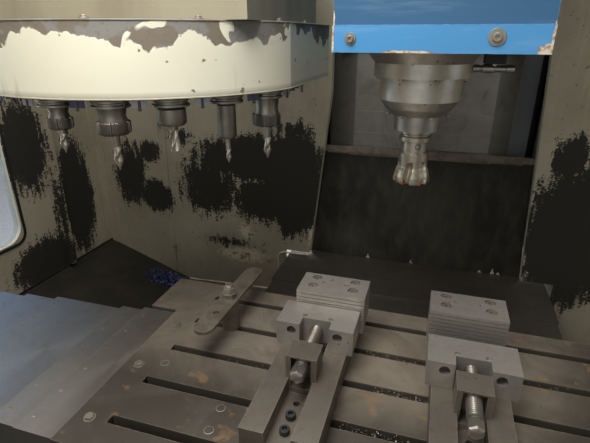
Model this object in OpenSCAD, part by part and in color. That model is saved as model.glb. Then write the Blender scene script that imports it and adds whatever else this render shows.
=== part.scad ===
// Vertical machining centre: cast base, saddle, table, column and head, with an
// umbrella tool magazine, telescopic way covers, two clamping vises and a sheet
// metal enclosure. X runs along the table, +Y from the front doors to the column,
// +Z up. The origin lies on the floor, midway between the foundation bolts.

/* [Table] */
// Height of the table's clamping face above the floor
table_h = 900; // [860:10:960]
// Length of the slotted casting
table_l = 908; // [880:4:920]
// Distance of the casting's middle from the spindle axis, along X
table_x = 21; // [10:1:30]
// Depth of the table from front to back
table_d = 520; // [500:4:540]
// Thickness of the table casting
table_t = 110; // [100:2:116]
// Width of a T-slot at the clamping face
slot_w = 18; // [14:1:22]
// Distance between two T-slots
slot_pitch = 100; // [80:2:104]
// Number of T-slots
slot_n = 5; // [3:1:5]
// Depth of a T-slot
slot_depth = 38; // [32:1:44]
// Width of the wide foot of a T-slot
slot_foot_w = 32; // [28:1:40]
// Height of the wide foot of a T-slot
slot_foot_h = 14; // [10:1:18]
// Distance from the spindle axis to the table's middle, towards the doors
table_rest_y = 281; // [270:1:290]
// Length of the strip behind the left cover
rear_strip_l = 130; // [100:5:130]
// Thickness of the strip behind the left cover
rear_strip_t = 40; // [30:2:60]

/* [Way covers] */
// Thickness of a cover plate
plate_t = 4.2; // [3.5:0.1:4.5]
// Step from one cover plate down to the next
plate_step = 5; // [5:0.1:6]
// Height of a cover plate's front and rear skirts
skirt_h = 60; // [40:5:70]
// Width of the fixed plate at the table's left end
end_plate_left = 63; // [60:1:66]
// Width of the fixed plate at the table's right end
end_plate_right = 120; // [118:1:124]
// Depth of the widest cover plate
cover_d = 388; // [370:2:396]
// Distance of the covers' middle from the table's middle, towards the doors
cover_shift_y = 70; // [62:1:72]
// Distance between the saddle's wing ends and the spindle axis, left
wing_left = 1203; // [1195:1:1215]
// Distance between the saddle's wing ends and the spindle axis, right
wing_right = 1227; // [1222:1:1235]
// Width of the lower cover plates along the base
y_cover_w = 886; // [860:2:900]
// Top of the lower cover plates, below the table top
y_cover_drop = 175; // [168:1:180]
// Height of the lower cover plates' side skirts
y_skirt_h = 90; // [60:5:95]

/* [Base and column] */
// Width of the base casting
base_w = 960; // [900:10:980]
// Length of the base casting, front to back
base_l = 2100; // [2080:10:2140]
// Distance from the table's face down to the top of the base casting
base_drop = 380; // [370:5:400]
// Gap under the base, filled by the levelling feet
base_gap = 60; // [40:5:80]
// Wall thickness of the castings
cast_wall = 45; // [30:5:60]
// Height of the ways on the base
way_h = 80; // [70:5:85]
// Width of a way
way_w = 90; // [70:5:110]
// Distance between the base's two ways, middle to middle
way_span = 600; // [520:10:640]
// Width of the column
column_w = 660; // [640:10:700]
// Front face of the column behind the spindle axis
column_y = 690; // [688:1:700]
// Depth of the column
column_d = 560; // [480:10:580]
// Top of the column above the floor
column_top = 2180; // [2150:10:2250]
// Distance the column's ways stand out from its front
column_way_t = 40; // [36:1:41]
// Distance from the spindle axis back to the middle of the foundation bolts
spindle_y = 250; // [240:5:260]
// Diameter of a foundation bolt hole
anchor_d = 18; // [14:1:24]
// Distance between foundation bolts along X
anchor_x = 1060; // [1050:10:1080]
// Distance between foundation bolts along Y
anchor_y = 1960; // [1900:10:1980]
// Thickness of a foot plate
foot_t = 20; // [15:1:30]

/* [Screws] */
// Diameter of the three feed screws
screw_d = 32; // [28:1:36]
// Radial clearance of a shaft in its bore
run_gap = 0.05; // [0.02:0.01:0.1]
// Size of a square feed motor
motor_w = 90; // [70:2:92]
// Length of a feed motor
motor_l = 140; // [100:5:150]

/* [Saddle] */
// Length of the saddle along X
saddle_l = 1160; // [1120:10:1180]
// Distance of the saddle's middle from the spindle axis
saddle_x = 20; // [10:1:30]
// Depth of the saddle
saddle_d = 560; // [540:5:580]
// Thickness of the saddle's slab
saddle_t = 100; // [90:2:104]
// Distance between the saddle's two ways
saddle_way_span = 360; // [340:5:370]

/* [Spindle head] */
// Nose of the spindle above the floor
nose_z = 1322; // [1300:1:1340]
// Diameter of the spindle nose
nose_d = 88; // [80:1:90]
// Length of nose that shows under the housing
nose_l = 30; // [20:1:40]
// Diameter of the spindle housing
housing_d = 154; // [140:1:170]
// Length of the spindle housing
housing_l = 72; // [60:1:80]
// Diameter of the housing's ring flange
ring_d = 180; // [172:1:190]
// Thickness of the ring flange
ring_t = 25; // [15:1:30]
// Height of the plate above the ring flange
cone_h = 26; // [20:1:30]
// Width of the head's neck
neck_w = 240; // [220:2:260]
// Height of the head's neck
neck_h = 290; // [260:5:320]
// Front of the head's neck before the spindle axis
neck_front = 120; // [110:1:130]
// Outer diameter of the cutter
cutter_d = 74; // [60:1:80]
// Height of the cutter's body
cutter_h = 62; // [50:1:70]
// Number of inserts on the cutter
insert_n = 6; // [4:1:8]

/* [Head cover] */
// Left side of the head cover from the spindle axis
cover_left = 144; // [142:1:148]
// Right side of the head cover from the spindle axis
cover_right = 190; // [180:1:200]
// Front of the head cover before the spindle axis
cover_front = 150; // [145:1:160]
// Back of the head cover behind the spindle axis
cover_back = 510; // [480:5:530]
// Height of the bright front band
band_h = 42; // [30:1:60]
// Height of the head cover above the band's lower edge
cover_h = 650; // [620:5:680]
// Depth by which the face above the band is set back
band_step = 8; // [4:1:12]
// Thickness of the head cover's sheet
sheet_t = 3; // [2:0.5:4]

/* [Magazine] */
// Distance from the magazine's axis to the spindle axis
mag_x = 577; // [575:1:585]
// Radius of the tool circle
tool_r = 311.4; // [308:0.2:311.4]
// Number of tool pockets
pocket_n = 20; // [16:2:20]
// Angle of the first tool about the magazine's axis
tool_angle = -90.5; // [-92:0.5:-88]
// Outer radius of the magazine cover
mag_r = 345; // [342:1:348]
// Lower edge of the magazine cover above the floor
mag_z = 1400; // [1390:1:1410]
// Height of the magazine cover
mag_h = 120; // [110:1:130]
// Height of the housing above the magazine cover
mag_top_h = 165; // [150:5:180]
// Distance of the cover's flat right side from the magazine's axis
mag_flat = 337; // [337:1:340]

/* [Vises] */
// Middle of the left vise from the spindle axis
vise_left_x = -136; // [-145:1:-130]
// Middle of the right vise from the spindle axis
vise_right_x = 140; // [130:1:150]
// Front end of the vises before the spindle axis
vise_front = 478; // [470:1:485]
// Length of a vise's base
vise_l = 372; // [350:2:390]
// Width of a vise's base
vise_w = 123; // [110:1:130]
// Height of a vise's base
vise_h = 50; // [44:1:60]
// Width of the channel between a vise's rails
channel_w = 43; // [36:1:48]
// Thickness of the floor of a vise's channel
channel_t = 20; // [14:1:26]
// Width of a moving jaw
jaw_w = 146; // [136:1:156]
// Height of a moving jaw above the base
jaw_h = 50; // [46:1:54]
// Depth of a moving jaw
jaw_d = 74; // [66:1:78]
// Width of a fixed jaw
fixed_w = 136; // [126:1:146]
// Height of a fixed jaw above the base
fixed_h = 78; // [70:1:90]
// Depth of a fixed jaw
fixed_d = 74; // [70:1:78]
// Number of layers on a fixed jaw's front
layer_n = 10; // [6:1:12]
// Depth of the grooves between the layers
layer_groove = 2.5; // [1:0.5:4]
// Gap between the left vise's jaws at rest
jaw_gap_left = 1.5; // [1.5:0.5:12]
// Gap between the right vise's jaws at rest
jaw_gap_right = 35; // [20:1:35]
// Sideways shift of the left vise's fixed jaw
fixed_shift_left = 12; // [0:1:12]
// Sideways shift of the right vise's fixed jaw
fixed_shift_right = -7; // [-12:1:0]
// Width of the nut block that stands in a vise's channel
nut_w = 54; // [48:1:54]
// Diameter of a vise's screw
vise_screw_d = 25; // [20:1:28]

/* [Enclosure] */
// Inner face of the side walls from the spindle axis
wall_x = 1252; // [1250:1:1260]
// Thickness of an enclosure wall
wall_t = 30; // [20:1:40]
// Inner face of the back wall behind the spindle axis
wall_back = 550; // [548:1:555]
// Inner face of the front wall before the spindle axis
wall_front = 1040; // [1035:1:1060]
// Top of the enclosure above the floor
wall_top = 2250; // [2200:10:2300]
// Lower edge of the side and back walls above the floor
wall_low = 250; // [200:10:300]
// Width of the door opening
door_gap_w = 1280; // [1260:10:1290]
// Lower edge of the door opening above the floor
door_low = 800; // [780:5:830]
// Upper edge of the door opening above the floor
door_high = 2130; // [2100:10:2150]
// Thickness of a sliding door
door_t = 32; // [26:1:36]
// Thickness of a window pane
pane_t = 6; // [4:1:8]
// Slope of the chip sheds
shed_angle = 20; // [15:1:22]
// Height at which the chip sheds meet the side walls
shed_z = 672; // [660:2:700]

/* [Cabinet, tank and control panel] */
// Width of the switch cabinet
cabinet_w = 650; // [600:10:700]
// Depth of the switch cabinet
cabinet_d = 420; // [380:10:440]
// Top of the switch cabinet above the floor
cabinet_top = 1850; // [1700:10:1950]
// Thickness of the cabinet's walls
cabinet_t = 12; // [8:1:20]
// Width of the coolant tank
tank_w = 1100; // [1000:10:1120]
// Height of the coolant tank
tank_h = 260; // [220:5:280]
// Width of the control panel
panel_w = 420; // [380:10:460]
// Height of the control panel
panel_h = 560; // [500:10:620]
// Depth of the control panel
panel_d = 90; // [80:2:110]
// Length of the panel's arm
arm_l = 330; // [320:5:380]

/* [Hidden] */

// Gap left between flat faces that slide on each other
slide_gap = 0.3;
// Smallest overhang that stops two cuts from sharing a face
cut = 1;

// Heights of the stack from the floor to the table
base_top = table_h - base_drop;
way_top = base_top + way_h;
saddle_low = way_top + slide_gap;
saddle_top = saddle_low + saddle_t;
table_low = table_h - table_t;
runner_t = 20;
saddle_way_top = table_low - runner_t - slide_gap;
y_cover_z = table_h - y_cover_drop;
y_cover_half = y_cover_w / 2;
axis_y = -spindle_y;

// Table position
table_y = axis_y - table_rest_y;
table_left = table_x - table_l / 2;
table_right = table_x + table_l / 2;
table_front = table_y - table_d / 2;
cover_y = table_y - cover_shift_y;

// Feed screw axes
x_screw_z = saddle_top + 40;
y_screw_z = base_top + 38;
z_screw_y = axis_y + column_y - 24;
screw_r = screw_d / 2;
bore_r = screw_r + run_gap;
bearing_t = 30;

// Left cover plates: the visible width of each, and the part hidden below its neighbour
left_show = [83, 59, 190, 92, 85];
left_len = [121, 130, 266, 215, 190];
left_end = table_left - end_plate_left;
// Right cover plates, counted from the table outwards
right_show = [130, 165, 170];
right_len = [189, 256, 292];
right_end = table_right + end_plate_right;
wing_left_l = 300;
wing_right_l = 306;

// Column and head
column_front = axis_y + column_y;
column_way_front = column_front - column_way_t;
slide_front = column_way_front - 60;
cone_low = nose_z + nose_l + housing_l + ring_t;
neck_low = cone_low + cone_h;
band_low = nose_z + 148;
cartridge_r = 75;
spindle_top = neck_low + neck_h - 12;

// Magazine
pocket_step = 360 / pocket_n;

// Enclosure
back_in = axis_y + wall_back;
back_out = back_in + wall_t;
front_in = axis_y - wall_front;
front_out = front_in - wall_t - 10;
door_y = front_out - door_t - 2;
door_w = door_gap_w / 2 + 10;
door_rest = door_gap_w / 2 - 5;

// Colour of each kind of surface
cream = [0.80, 0.77, 0.68];
blue = [0.27, 0.57, 0.78];
iron = [0.45, 0.43, 0.40];
steel = [0.62, 0.62, 0.62];
dark = [0.12, 0.12, 0.12];

// A box given by its low and high corners
module box(low, high) {
    translate(low)
        cube([high[0] - low[0], high[1] - low[1], high[2] - low[2]]);
}

// A cylinder along X, Y or Z from a start point
module rod_x(at, l, r) {
    translate(at)
        rotate([0, 90, 0])
            cylinder(h = l, r = r, $fn = 48);
}
module rod_y(at, l, r) {
    translate(at)
        rotate([-90, 0, 0])
            cylinder(h = l, r = r, $fn = 48);
}
module rod_z(at, l, r) {
    translate(at)
        cylinder(h = l, r = r, $fn = 64);
}

// A flat panel seen from the front, with rounded corners, standing in the XZ plane
module rounded_panel(w, h, t, r) {
    rotate([90, 0, 0])
        translate([0, 0, -t])
            linear_extrude(t)
                rounded_rect(w, h, r);
}
module rounded_rect(w, h, r) {
    union() {
        translate([r, 0])
            square([w - 2 * r, h]);
        translate([0, r])
            square([w, h - 2 * r]);
        for (x = [r, w - r])
            for (y = [r, h - r])
                translate([x, y])
                    circle(r = r, $fn = 32);
    }
}

// The cast base with its two ways and the bearings of the Y screw
module base() {
    color(iron) {
        difference() {
            box([-base_w / 2, -base_l / 2, base_gap], [base_w / 2, base_l / 2, base_top]);
            base_pockets();
        }
        for (s = [-1, 1])
            box([s * way_span / 2 - way_w / 2, base_way_front, base_top],
                [s * way_span / 2 + way_w / 2, base_way_back, way_top]);
        for (y = [base_way_front, base_way_back - bearing_t])
            y_bearing(y);
    }
}
base_way_front = table_y - saddle_d / 2 - 25;
base_way_back = table_y + saddle_d / 2 + 475;

module y_bearing(y) {
    difference() {
        box([-50, y, base_top], [50, y + bearing_t, y_screw_z + 32]);
        rod_y([0, y - cut, y_screw_z], bearing_t + 2 * cut, bore_r);
    }
}

// Hollows under the base, open at the floor, with ribs between them
module base_pockets() {
    bays = 4;
    bay_l = (base_l - (bays + 1) * cast_wall) / bays;
    for (i = [0 : bays - 1])
        translate([0, -base_l / 2 + cast_wall + i * (bay_l + cast_wall), 0])
            box([-base_w / 2 + cast_wall, 0, base_gap - cut],
                [base_w / 2 - cast_wall, bay_l, base_top - cast_wall]);
}

// Foot plates with a levelling screw each and a foundation bolt hole beside it
module levelling_feet() {
    color(steel)
        for (x = [-1, 1])
            for (y = [-1, 0, 1])
                levelling_foot(x, y);
}
module levelling_foot(side, row) {
    y = row * anchor_y / 2;
    out = anchor_x / 2 + 40;
    inner = base_w / 2 - 90;
    low = side > 0 ? inner : -out;
    difference() {
        box([low, y - 50, 0], [low + out - inner, y + 50, foot_t]);
        rod_z([side * anchor_x / 2, y, -cut], foot_t + 2 * cut, anchor_d / 2);
    }
    rod_z([side * (base_w / 2 - cast_wall / 2), y, foot_t], base_gap - foot_t, 16);
}

// The column with its ways, the Z screw bearings and the magazine's arm
module column() {
    color(iron) {
        difference() {
            box([-column_w / 2, column_front, base_top],
                [column_w / 2, column_front + column_d, column_top]);
            box([-column_w / 2 + cast_wall, column_front + cast_wall + 135, base_top + cast_wall],
                [column_w / 2 - cast_wall, column_front + column_d + cut, column_top - cast_wall]);
            cover_tunnel();
        }
        for (s = [-1, 1])
            box([s * column_way_x - 40, column_way_front, table_h],
                [s * column_way_x + 40, column_front, column_top]);
        for (z = [z_screw_low, column_top - bearing_t])
            z_bearing(z);
        magazine_arm();
    }
}
column_way_x = 235;
z_screw_low = neck_low - 180;

// The slot into which the rear way cover runs when the saddle is back
module cover_tunnel() {
    box([-column_w / 2 - cut, column_front - cut, y_cover_z - y_skirt_h - 25],
        [column_w / 2 + cut, column_front + 135, y_cover_z + 15]);
}

module z_bearing(z) {
    difference() {
        box([-45, z_screw_y - 30, z], [45, column_front, z + bearing_t]);
        rod_z([0, z_screw_y, z - cut], bearing_t + 2 * cut, bore_r);
    }
}

// The arm and the two rails that carry the tool magazine
module magazine_arm() {
    box([-arm_out, -arm_reach, arm_low], [-arm_in, column_front + 200, arm_low + 100]);
    box([-arm_in, column_front + 60, arm_low], [-column_w / 2, column_front + 200, arm_low + 100]);
    for (y = rail_y)
        box([-rail_end, y - 20, arm_low], [-arm_out, y + 20, arm_low + 40]);
}
arm_in = column_w / 2 + 10;
arm_out = arm_in + 80;
arm_low = mag_z + mag_h + mag_top_h + 60;
arm_reach = spindle_y + 250;
rail_y = [axis_y - 180, axis_y + 180];
rail_end = mag_x + mag_r + 40;

// A feed screw with its thread left plain, shown by its outer diameter
module y_screw() {
    color(steel)
        rod_y([0, base_way_front - 24.5, y_screw_z], base_way_back - base_way_front + 40, screw_r);
}
module z_screw() {
    color(steel)
        rod_z([0, z_screw_y, z_screw_low - 15], column_top - z_screw_low + 35, screw_r);
}

// The Y motor in front of the base ways and the Z motor on top of the column
module axis_motors() {
    color(dark) {
        box([-motor_w / 2, base_way_front - 25 - motor_l, y_screw_z - 38],
            [motor_w / 2, base_way_front - 25, y_screw_z - 38 + motor_w]);
        box([-motor_w / 2, z_screw_y - motor_w / 2, column_top + 25],
            [motor_w / 2, z_screw_y + motor_w / 2, column_top + 25 + motor_l]);
        difference() {
            box([-70, z_screw_y - 60, column_top], [70, z_screw_y + 84, column_top + 25]);
            rod_z([0, z_screw_y, column_top - cut], 25 + 2 * cut, screw_r + 6);
        }
    }
}

// The two side walls with a window each, a worn post inside and a top flange
module side_panels() {
    color(cream) {
        for (s = [-1, 1])
            side_panel(s);
        arm_bracket();
    }
}
module side_panel(s) {
    inner = s * wall_x;
    outer = s * (wall_x + wall_t);
    difference() {
        box([min(inner, outer), front_in, wall_low], [max(inner, outer), back_in, wall_top]);
        side_window(s, wall_t / 2 + cut, 0);
    }
    post = s * (wall_x - 20);
    box([min(inner, post), post_y0 - post_w, shed_z + shed_lip + slide_gap],
        [max(inner, post), post_y0, wall_top - 40]);
}
// The window's outline through a side wall, grown by a rebate
module side_window(s, half, grow) {
    translate([s * (wall_x + wall_t / 2) + half, 0, 0])
        rotate([0, -90, 0])
            linear_extrude(2 * half)
                translate([window_low - grow, window_front - grow])
                    rounded_rect(window_high - window_low + 2 * grow,
                                 window_back - window_front + 2 * grow, 60);
}
post_y0 = back_in - 234;
post_w = 28;
shed_lip = 12;
window_low = table_h - 42;
window_high = 1500;
window_front = axis_y - 500;
window_back = axis_y + 130;

module side_windows() {
    color([0.75, 0.85, 0.9])
        for (s = [-1, 1])
            side_window(s, pane_t / 2, -slide_gap);
}

// The back wall with the opening for the head and the rear way cover
module back_panel() {
    color(cream) {
        for (s = [-1, 1])
            box([s * tunnel_x - tunnel_t / 2, back_out - cut, tunnel_low],
                [s * tunnel_x + tunnel_t / 2, back_out + tunnel_deep, s > 0 ? tunnel_top : arm_low - 10]);
        difference() {
            box([-wall_x - wall_t, back_in, wall_low], [wall_x + wall_t, back_out, wall_top]);
            translate([0, back_out + cut, 0])
                rotate([90, 0, 0])
                    linear_extrude(wall_t + 2 * cut)
                        polygon(back_opening);
            box([-arm_out - 5, back_in - cut, arm_low - 5], [-arm_in + 5, back_out + cut, arm_low + 105]);
        }
    }
}
// The two sheets that close the gap between the back wall and the column
tunnel_x = 365;
tunnel_t = 2.4;
tunnel_low = y_cover_z + 110;
tunnel_top = wall_top - 70;
tunnel_deep = 230;
back_opening = [
    [-base_w / 2 - 60, wall_low - cut], [-y_cover_half - 22, y_cover_z - 100],
    [-y_cover_half - 22, y_cover_z + 12], [-365, y_cover_z + 12],
    [-298, nose_z], [-298, wall_top + cut], [322, wall_top + cut],
    [322, nose_z + 165], [365, y_cover_z + 12], [y_cover_half + 22, y_cover_z + 12],
    [y_cover_half + 22, y_cover_z - 100], [base_w / 2 + 60, wall_low - cut]
];

// The front wall with the door opening, the door rails and a lower apron
module front_panel() {
    color(cream) {
        difference() {
            box([-wall_x - wall_t, front_out, front_low], [wall_x + wall_t, front_in, wall_top]);
            box([-door_gap_w / 2, front_out - cut, door_low], [door_gap_w / 2, front_in + cut, door_high]);
        }
        box([-wall_x - wall_t, door_y - 8, door_high + 30 + slide_gap],
            [wall_x + wall_t, front_out, door_high + 60]);
        box([-wall_x - wall_t, door_y - 8, door_low - 60], [wall_x + wall_t, front_out, door_low - 30]);
    }
}
front_low = tank_h + 60;

// Sloping sheets that carry chips and coolant from the side walls down to the base
module chip_sheds() {
    color(steel)
        for (s = [-1, 1])
            chip_shed(s);
}
module chip_shed(s) {
    run = wall_x - base_w / 2;
    drop = run * tan(shed_angle);
    t = 4;
    mirror([s > 0 ? 0 : 1, 0, 0])
        translate([0, back_in, 0])
            rotate([90, 0, 0])
                linear_extrude(wall_back + wall_front)
                    polygon([[base_w / 2, shed_z - drop], [wall_x, shed_z], [wall_x, shed_z + shed_lip],
                             [wall_x - t, shed_z + shed_lip], [wall_x - t, shed_z + t],
                             [base_w / 2, shed_z - drop + t]]);
}

// A lower way cover: a plate with two side skirts, between two Y positions
module y_cover_plate(y0, y1, top, half, skirt) {
    box([-half, y0, top - plate_t], [half, y1, top]);
    for (s = [-1, 1])
        box([s > 0 ? half - plate_t : -half, y0, top - skirt],
            [s > 0 ? half : -half + plate_t, y1, top]);
}
// The outer plates of the lower way covers, fixed behind and in front of the saddle
module y_cover_fixed() {
    color(steel) {
        y_cover_plate(back_in - y_cover_lap - 17, column_front, y_cover_z, y_cover_half, 20);
        box([-300, column_front - 4, y_cover_z - plate_t], [300, column_front, y_cover_z + 60]);
        y_cover_plate(front_in, saddle_front - 3, y_cover_z, y_cover_half, 20);
        box([-y_cover_half, front_in, base_top - 60], [y_cover_half, front_in + 4, y_cover_z - plate_t]);
        for (x = [y_cover_half - plate_t, -base_w / 2 + 5])
            box([x, front_in + 240, base_top],
                [x + base_w / 2 - 5 - y_cover_half + plate_t, front_in + 270, y_cover_z - 20]);
    }
}
// The inner plates, carried by the saddle
module y_cover_saddle() {
    half = y_cover_half - plate_t - 0.8;
    top = y_cover_z - plate_step;
    color(steel) {
        difference() {
            y_cover_plate(saddle_back - 20, back_in - y_cover_lap, top, half, y_skirt_h);
            box([-half - cut, saddle_back - 21, saddle_low - cut], [half + cut, saddle_back, saddle_top]);
        }
        difference() {
            y_cover_plate(front_in + 20, saddle_front + 20, top, half, y_skirt_h);
            box([-half - cut, saddle_front, saddle_low - cut], [half + cut, saddle_front + 21, saddle_top]);
        }
        box([-half, saddle_back - 20, saddle_top], [half, saddle_back, top - plate_t]);
        box([-half, saddle_front, saddle_top], [half, saddle_front + 20, top - plate_t]);
    }
}
saddle_front = table_y - saddle_d / 2;
saddle_back = table_y + saddle_d / 2;
y_cover_lap = 190;

// A folded cover plate in front of the column: a middle facet and two sides bent back
module z_cover_shell(y, z0, z1) {
    t = 2;
    edge = 42;
    outline = [[z_cover_l, y + edge], [z_cover_l + 87, y], [z_cover_r - 63, y], [z_cover_r, y + edge],
               [z_cover_r - t, y + edge], [z_cover_r - 64, y + t], [z_cover_l + 88, y + t],
               [z_cover_l + t, y + edge]];
    translate([0, 0, z0])
        linear_extrude(z1 - z0)
            polygon(outline);
}
z_cover_l = -314;
z_cover_r = 269;
z_cover_y = back_in + 50;
clamp_z = table_h + 215;

// The lower front cover stays on the column, the upper one rides with the head
module z_cover_lower() {
    color(steel) {
        z_cover_shell(z_cover_y + 5, clamp_z - 25, z_slide_low - 165);
        box([z_cover_l + 100, z_cover_y + 7, clamp_z - 25], [z_cover_r - 80, column_way_front, clamp_z - 5]);
    }
}
module z_cover_upper() {
    color(steel) {
        z_cover_shell(z_cover_y, clamp_z - 100, z_slide_low);
        for (z = [clamp_z + 70, clamp_z + 140])
            box([z_cover_l + 90, z_cover_y - 2, z], [z_cover_r - 66, z_cover_y, z + 8]);
    }
}
z_slide_low = neck_low - 30;

// The rubber sheet that hangs under the clamp bar, down to the rear way cover
module rubber_sheet() {
    color(dark)
        translate([0, z_cover_y - 2.5, 0])
            rotate([90, 0, 0])
                linear_extrude(3)
                    polygon([[z_cover_l - 20, clamp_z + 5], [-rubber_foot, y_cover_z + 0.5],
                             [rubber_foot, y_cover_z + 0.5], [z_cover_r + 68, clamp_z + 5]]);
}
rubber_foot = tunnel_x + 5;

// The bar that clamps the sheet, with both ends bent back
module clamp_bar() {
    color(steel) {
        box([-238, z_cover_y - 12, clamp_z], [216, z_cover_y - 5.5, clamp_z + 30]);
        for (end = [[-314, -238], [216, 313]])
            box([end[0], z_cover_y - 8, clamp_z + 2], [end[1], z_cover_y - 5.5, clamp_z + 28]);
        for (x = [z_cover_l - 12, z_cover_r + 30])
            box([x, back_out, clamp_z + 10], [x + 10, z_cover_y - 5.5, clamp_z + 28]);
        box([-column_w / 2, back_out, clamp_z + 10], [column_w / 2 + 30, back_out + 4, clamp_z + 28]);
    }
}

// The switch cabinet behind the back wall, its door, and the main switch
module electric_cabinet() {
    color(cream) {
        difference() {
            box([cabinet_x, cabinet_y, 80], [cabinet_x + cabinet_w, cabinet_y + cabinet_d, cabinet_top]);
            box([cabinet_x + cabinet_t, cabinet_y + cabinet_t, 80 + cabinet_t],
                [cabinet_x + cabinet_w - cabinet_t, cabinet_y + cabinet_d + cut, cabinet_top - cabinet_t]);
        }
        box([cabinet_x + 20, cabinet_y + 20, 0], [cabinet_x + cabinet_w - 20, cabinet_y + cabinet_d - 20, 80]);
        box([cabinet_x + 60, cabinet_y + cabinet_t, 200],
            [cabinet_x + cabinet_w - 60, cabinet_y + cabinet_t + 6, cabinet_top - 150]);
    }
}
cabinet_x = base_w / 2 + 60;
cabinet_y = back_out;
cabinet_back = cabinet_y + cabinet_d;

module cabinet_door() {
    color(cream)
        difference() {
            box([cabinet_x, cabinet_back + slide_gap, 100],
                [cabinet_x + cabinet_w, cabinet_back + 26, cabinet_top - 10]);
            box([cabinet_x + 15, cabinet_back, 115],
                [cabinet_x + cabinet_w - 15, cabinet_back + 22, cabinet_top - 25]);
            rod_y([switch_x, cabinet_back, switch_z], 40, 12.3);
        }
    for (z = hinge_z)
        color(cream)
            knuckle(z);
}

// The door's half of a hinge: a barrel with a lug
module knuckle(z) {
    rod_z([hinge_x, hinge_y, z], hinge_h, 8);
    box([cabinet_x + cabinet_w - cut, cabinet_back + 5, z], [hinge_x, cabinet_back + 21, z + hinge_h]);
}
hinge_x = cabinet_x + cabinet_w + 9;
hinge_y = cabinet_back + 13;
hinge_h = 50;
hinge_z = [260, 1560];
switch_x = cabinet_x + 90;
switch_z = 1400;

module main_switch() {
    color([0.75, 0.1, 0.1]) {
        rod_y([switch_x, cabinet_back + 12, switch_z], 15, 12);
        rod_y([switch_x, cabinet_back + 26 + slide_gap, switch_z], 14, 32);
        box([switch_x - 8, cabinet_back + 34, switch_z - 30], [switch_x + 8, cabinet_back + 56, switch_z + 30]);
    }
}

// The coolant tank that pulls out under the front wall
module coolant_tank() {
    color(steel) {
        difference() {
            box([-tank_w / 2, front_out - 20, 4], [tank_w / 2, tank_back, tank_h]);
            box([-tank_w / 2 + 5, front_out - 15, 9], [tank_w / 2 - 5, tank_back - 5, tank_h + cut]);
        }
        for (x = [-tank_w / 2 + 30, tank_w / 2 - 90])
            for (y = [front_out, tank_back - 60])
                box([x, y, 0], [x + 60, y + 30, 4]);
        box([-120, front_out - 65, 180], [120, front_out - 50, 200]);
        for (x = [-120, 105])
            box([x, front_out - 65, 180], [x + 15, front_out - 20, 200]);
    }
}
tank_back = -base_l / 2 - 0.5;

// The control panel on its arm at the right side of the front
module panel_arm() {
    color(cream) {
        difference() {
            union() {
                rod_z([arm_x, arm_y, arm_z - 30], 60, 34);
                box([arm_x, arm_y - 22, arm_z - 22], [arm_x + arm_l, arm_y + 22, arm_z + 22]);
                rod_z([arm_x + arm_l, arm_y, arm_z - 30], 60, 34);
            }
            for (x = [arm_x, arm_x + arm_l])
                rod_z([x, arm_y, arm_z - 31], 62, 18 + run_gap);
        }
    }
}
arm_x = wall_x + wall_t + 60;
arm_y = front_in + 80;
arm_z = 1880;

// The bracket on the side wall holds the arm's pin
module arm_bracket() {
    for (z = [arm_z - 50, arm_z + 30 + slide_gap])
        box([wall_x + wall_t, arm_y - 34, z], [arm_x + 34, arm_y + 34, z + 20 - slide_gap]);
    rod_z([arm_x, arm_y, arm_z - 40], 80, 18);
}

module control_panel() {
    x0 = arm_x + arm_l - panel_w / 2;
    y0 = arm_y - panel_d / 2;
    color(cream) {
        difference() {
            box([x0, y0, arm_z - 60 - panel_h], [x0 + panel_w, y0 + panel_d, arm_z - 60]);
            box([x0 + 70, y0 - cut, screen_z], [x0 + panel_w - 70, y0 + 4, screen_z + 210]);
            for (b = buttons)
                rod_y([b[0], y0 - cut, b[1]], 30, 9.3);
        }
        box([x0 + 50, y0 - 40, screen_z - 150], [x0 + panel_w - 50, y0, screen_z - 140]);
        rod_z([arm_x + arm_l, arm_y, arm_z - 61], 97, 18);
        rod_z([arm_x + arm_l, arm_y, arm_z - 60], 30 - slide_gap, 34);
        rod_z([arm_x + arm_l, arm_y, arm_z + 30 + slide_gap], 8, 30);
    }
}
screen_z = arm_z - 60 - 250;
panel_front = arm_y - panel_d / 2;
button_z = arm_z - panel_h - 10;
buttons = [[arm_x + arm_l + panel_w / 2 - 60, button_z], [arm_x + arm_l - panel_w / 2 + 60, button_z],
           [arm_x + arm_l - panel_w / 2 + 120, button_z]];

// A push button: a shaft in the panel's hole and a cap that stands out
module push_button(i, cap_r, cap_t) {
    rod_y([buttons[i][0], panel_front - 12, buttons[i][1]], 28, 9);
    rod_y([buttons[i][0], panel_front - 12 - cap_t, buttons[i][1]], cap_t, cap_r);
}
module stop_button() {
    color([0.75, 0.1, 0.08])
        push_button(0, 20, 14);
}
module start_button() {
    color([0.15, 0.5, 0.2])
        push_button(1, 12, 6);
}
module hold_button() {
    color([0.8, 0.65, 0.1])
        push_button(2, 12, 6);
}

// A sliding door with a window, open at rest
module sliding_door(s) {
    x0 = s > 0 ? door_rest : -door_rest - door_w;
    z0 = door_low - 30 + slide_gap;
    h = door_high + 30 - z0;
    difference() {
        translate([x0, door_y, z0])
            rounded_panel(door_w, h, door_t, 12);
        translate([x0 + 130, door_y - cut, z0 + 320])
            rounded_panel(door_w - 230, h - 560, door_t + 2 * cut, 60);
    }
    translate([x0 + 129, door_y + door_t / 2 - pane_t / 2, z0 + 319])
        rounded_panel(door_w - 228, h - 558, pane_t, 60);
    grip = s > 0 ? x0 + 50 : x0 + door_w - 50;
    box([grip - 14, door_y - 46, z0 + 480], [grip + 14, door_y - 34, z0 + 820]);
    for (z = [z0 + 480, z0 + 790])
        box([grip - 14, door_y - 46, z], [grip + 14, door_y, z + 30]);
}
module left_door() {
    color(cream)
        sliding_door(-1);
}
module right_door() {
    color(cream)
        sliding_door(1);
}

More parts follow.
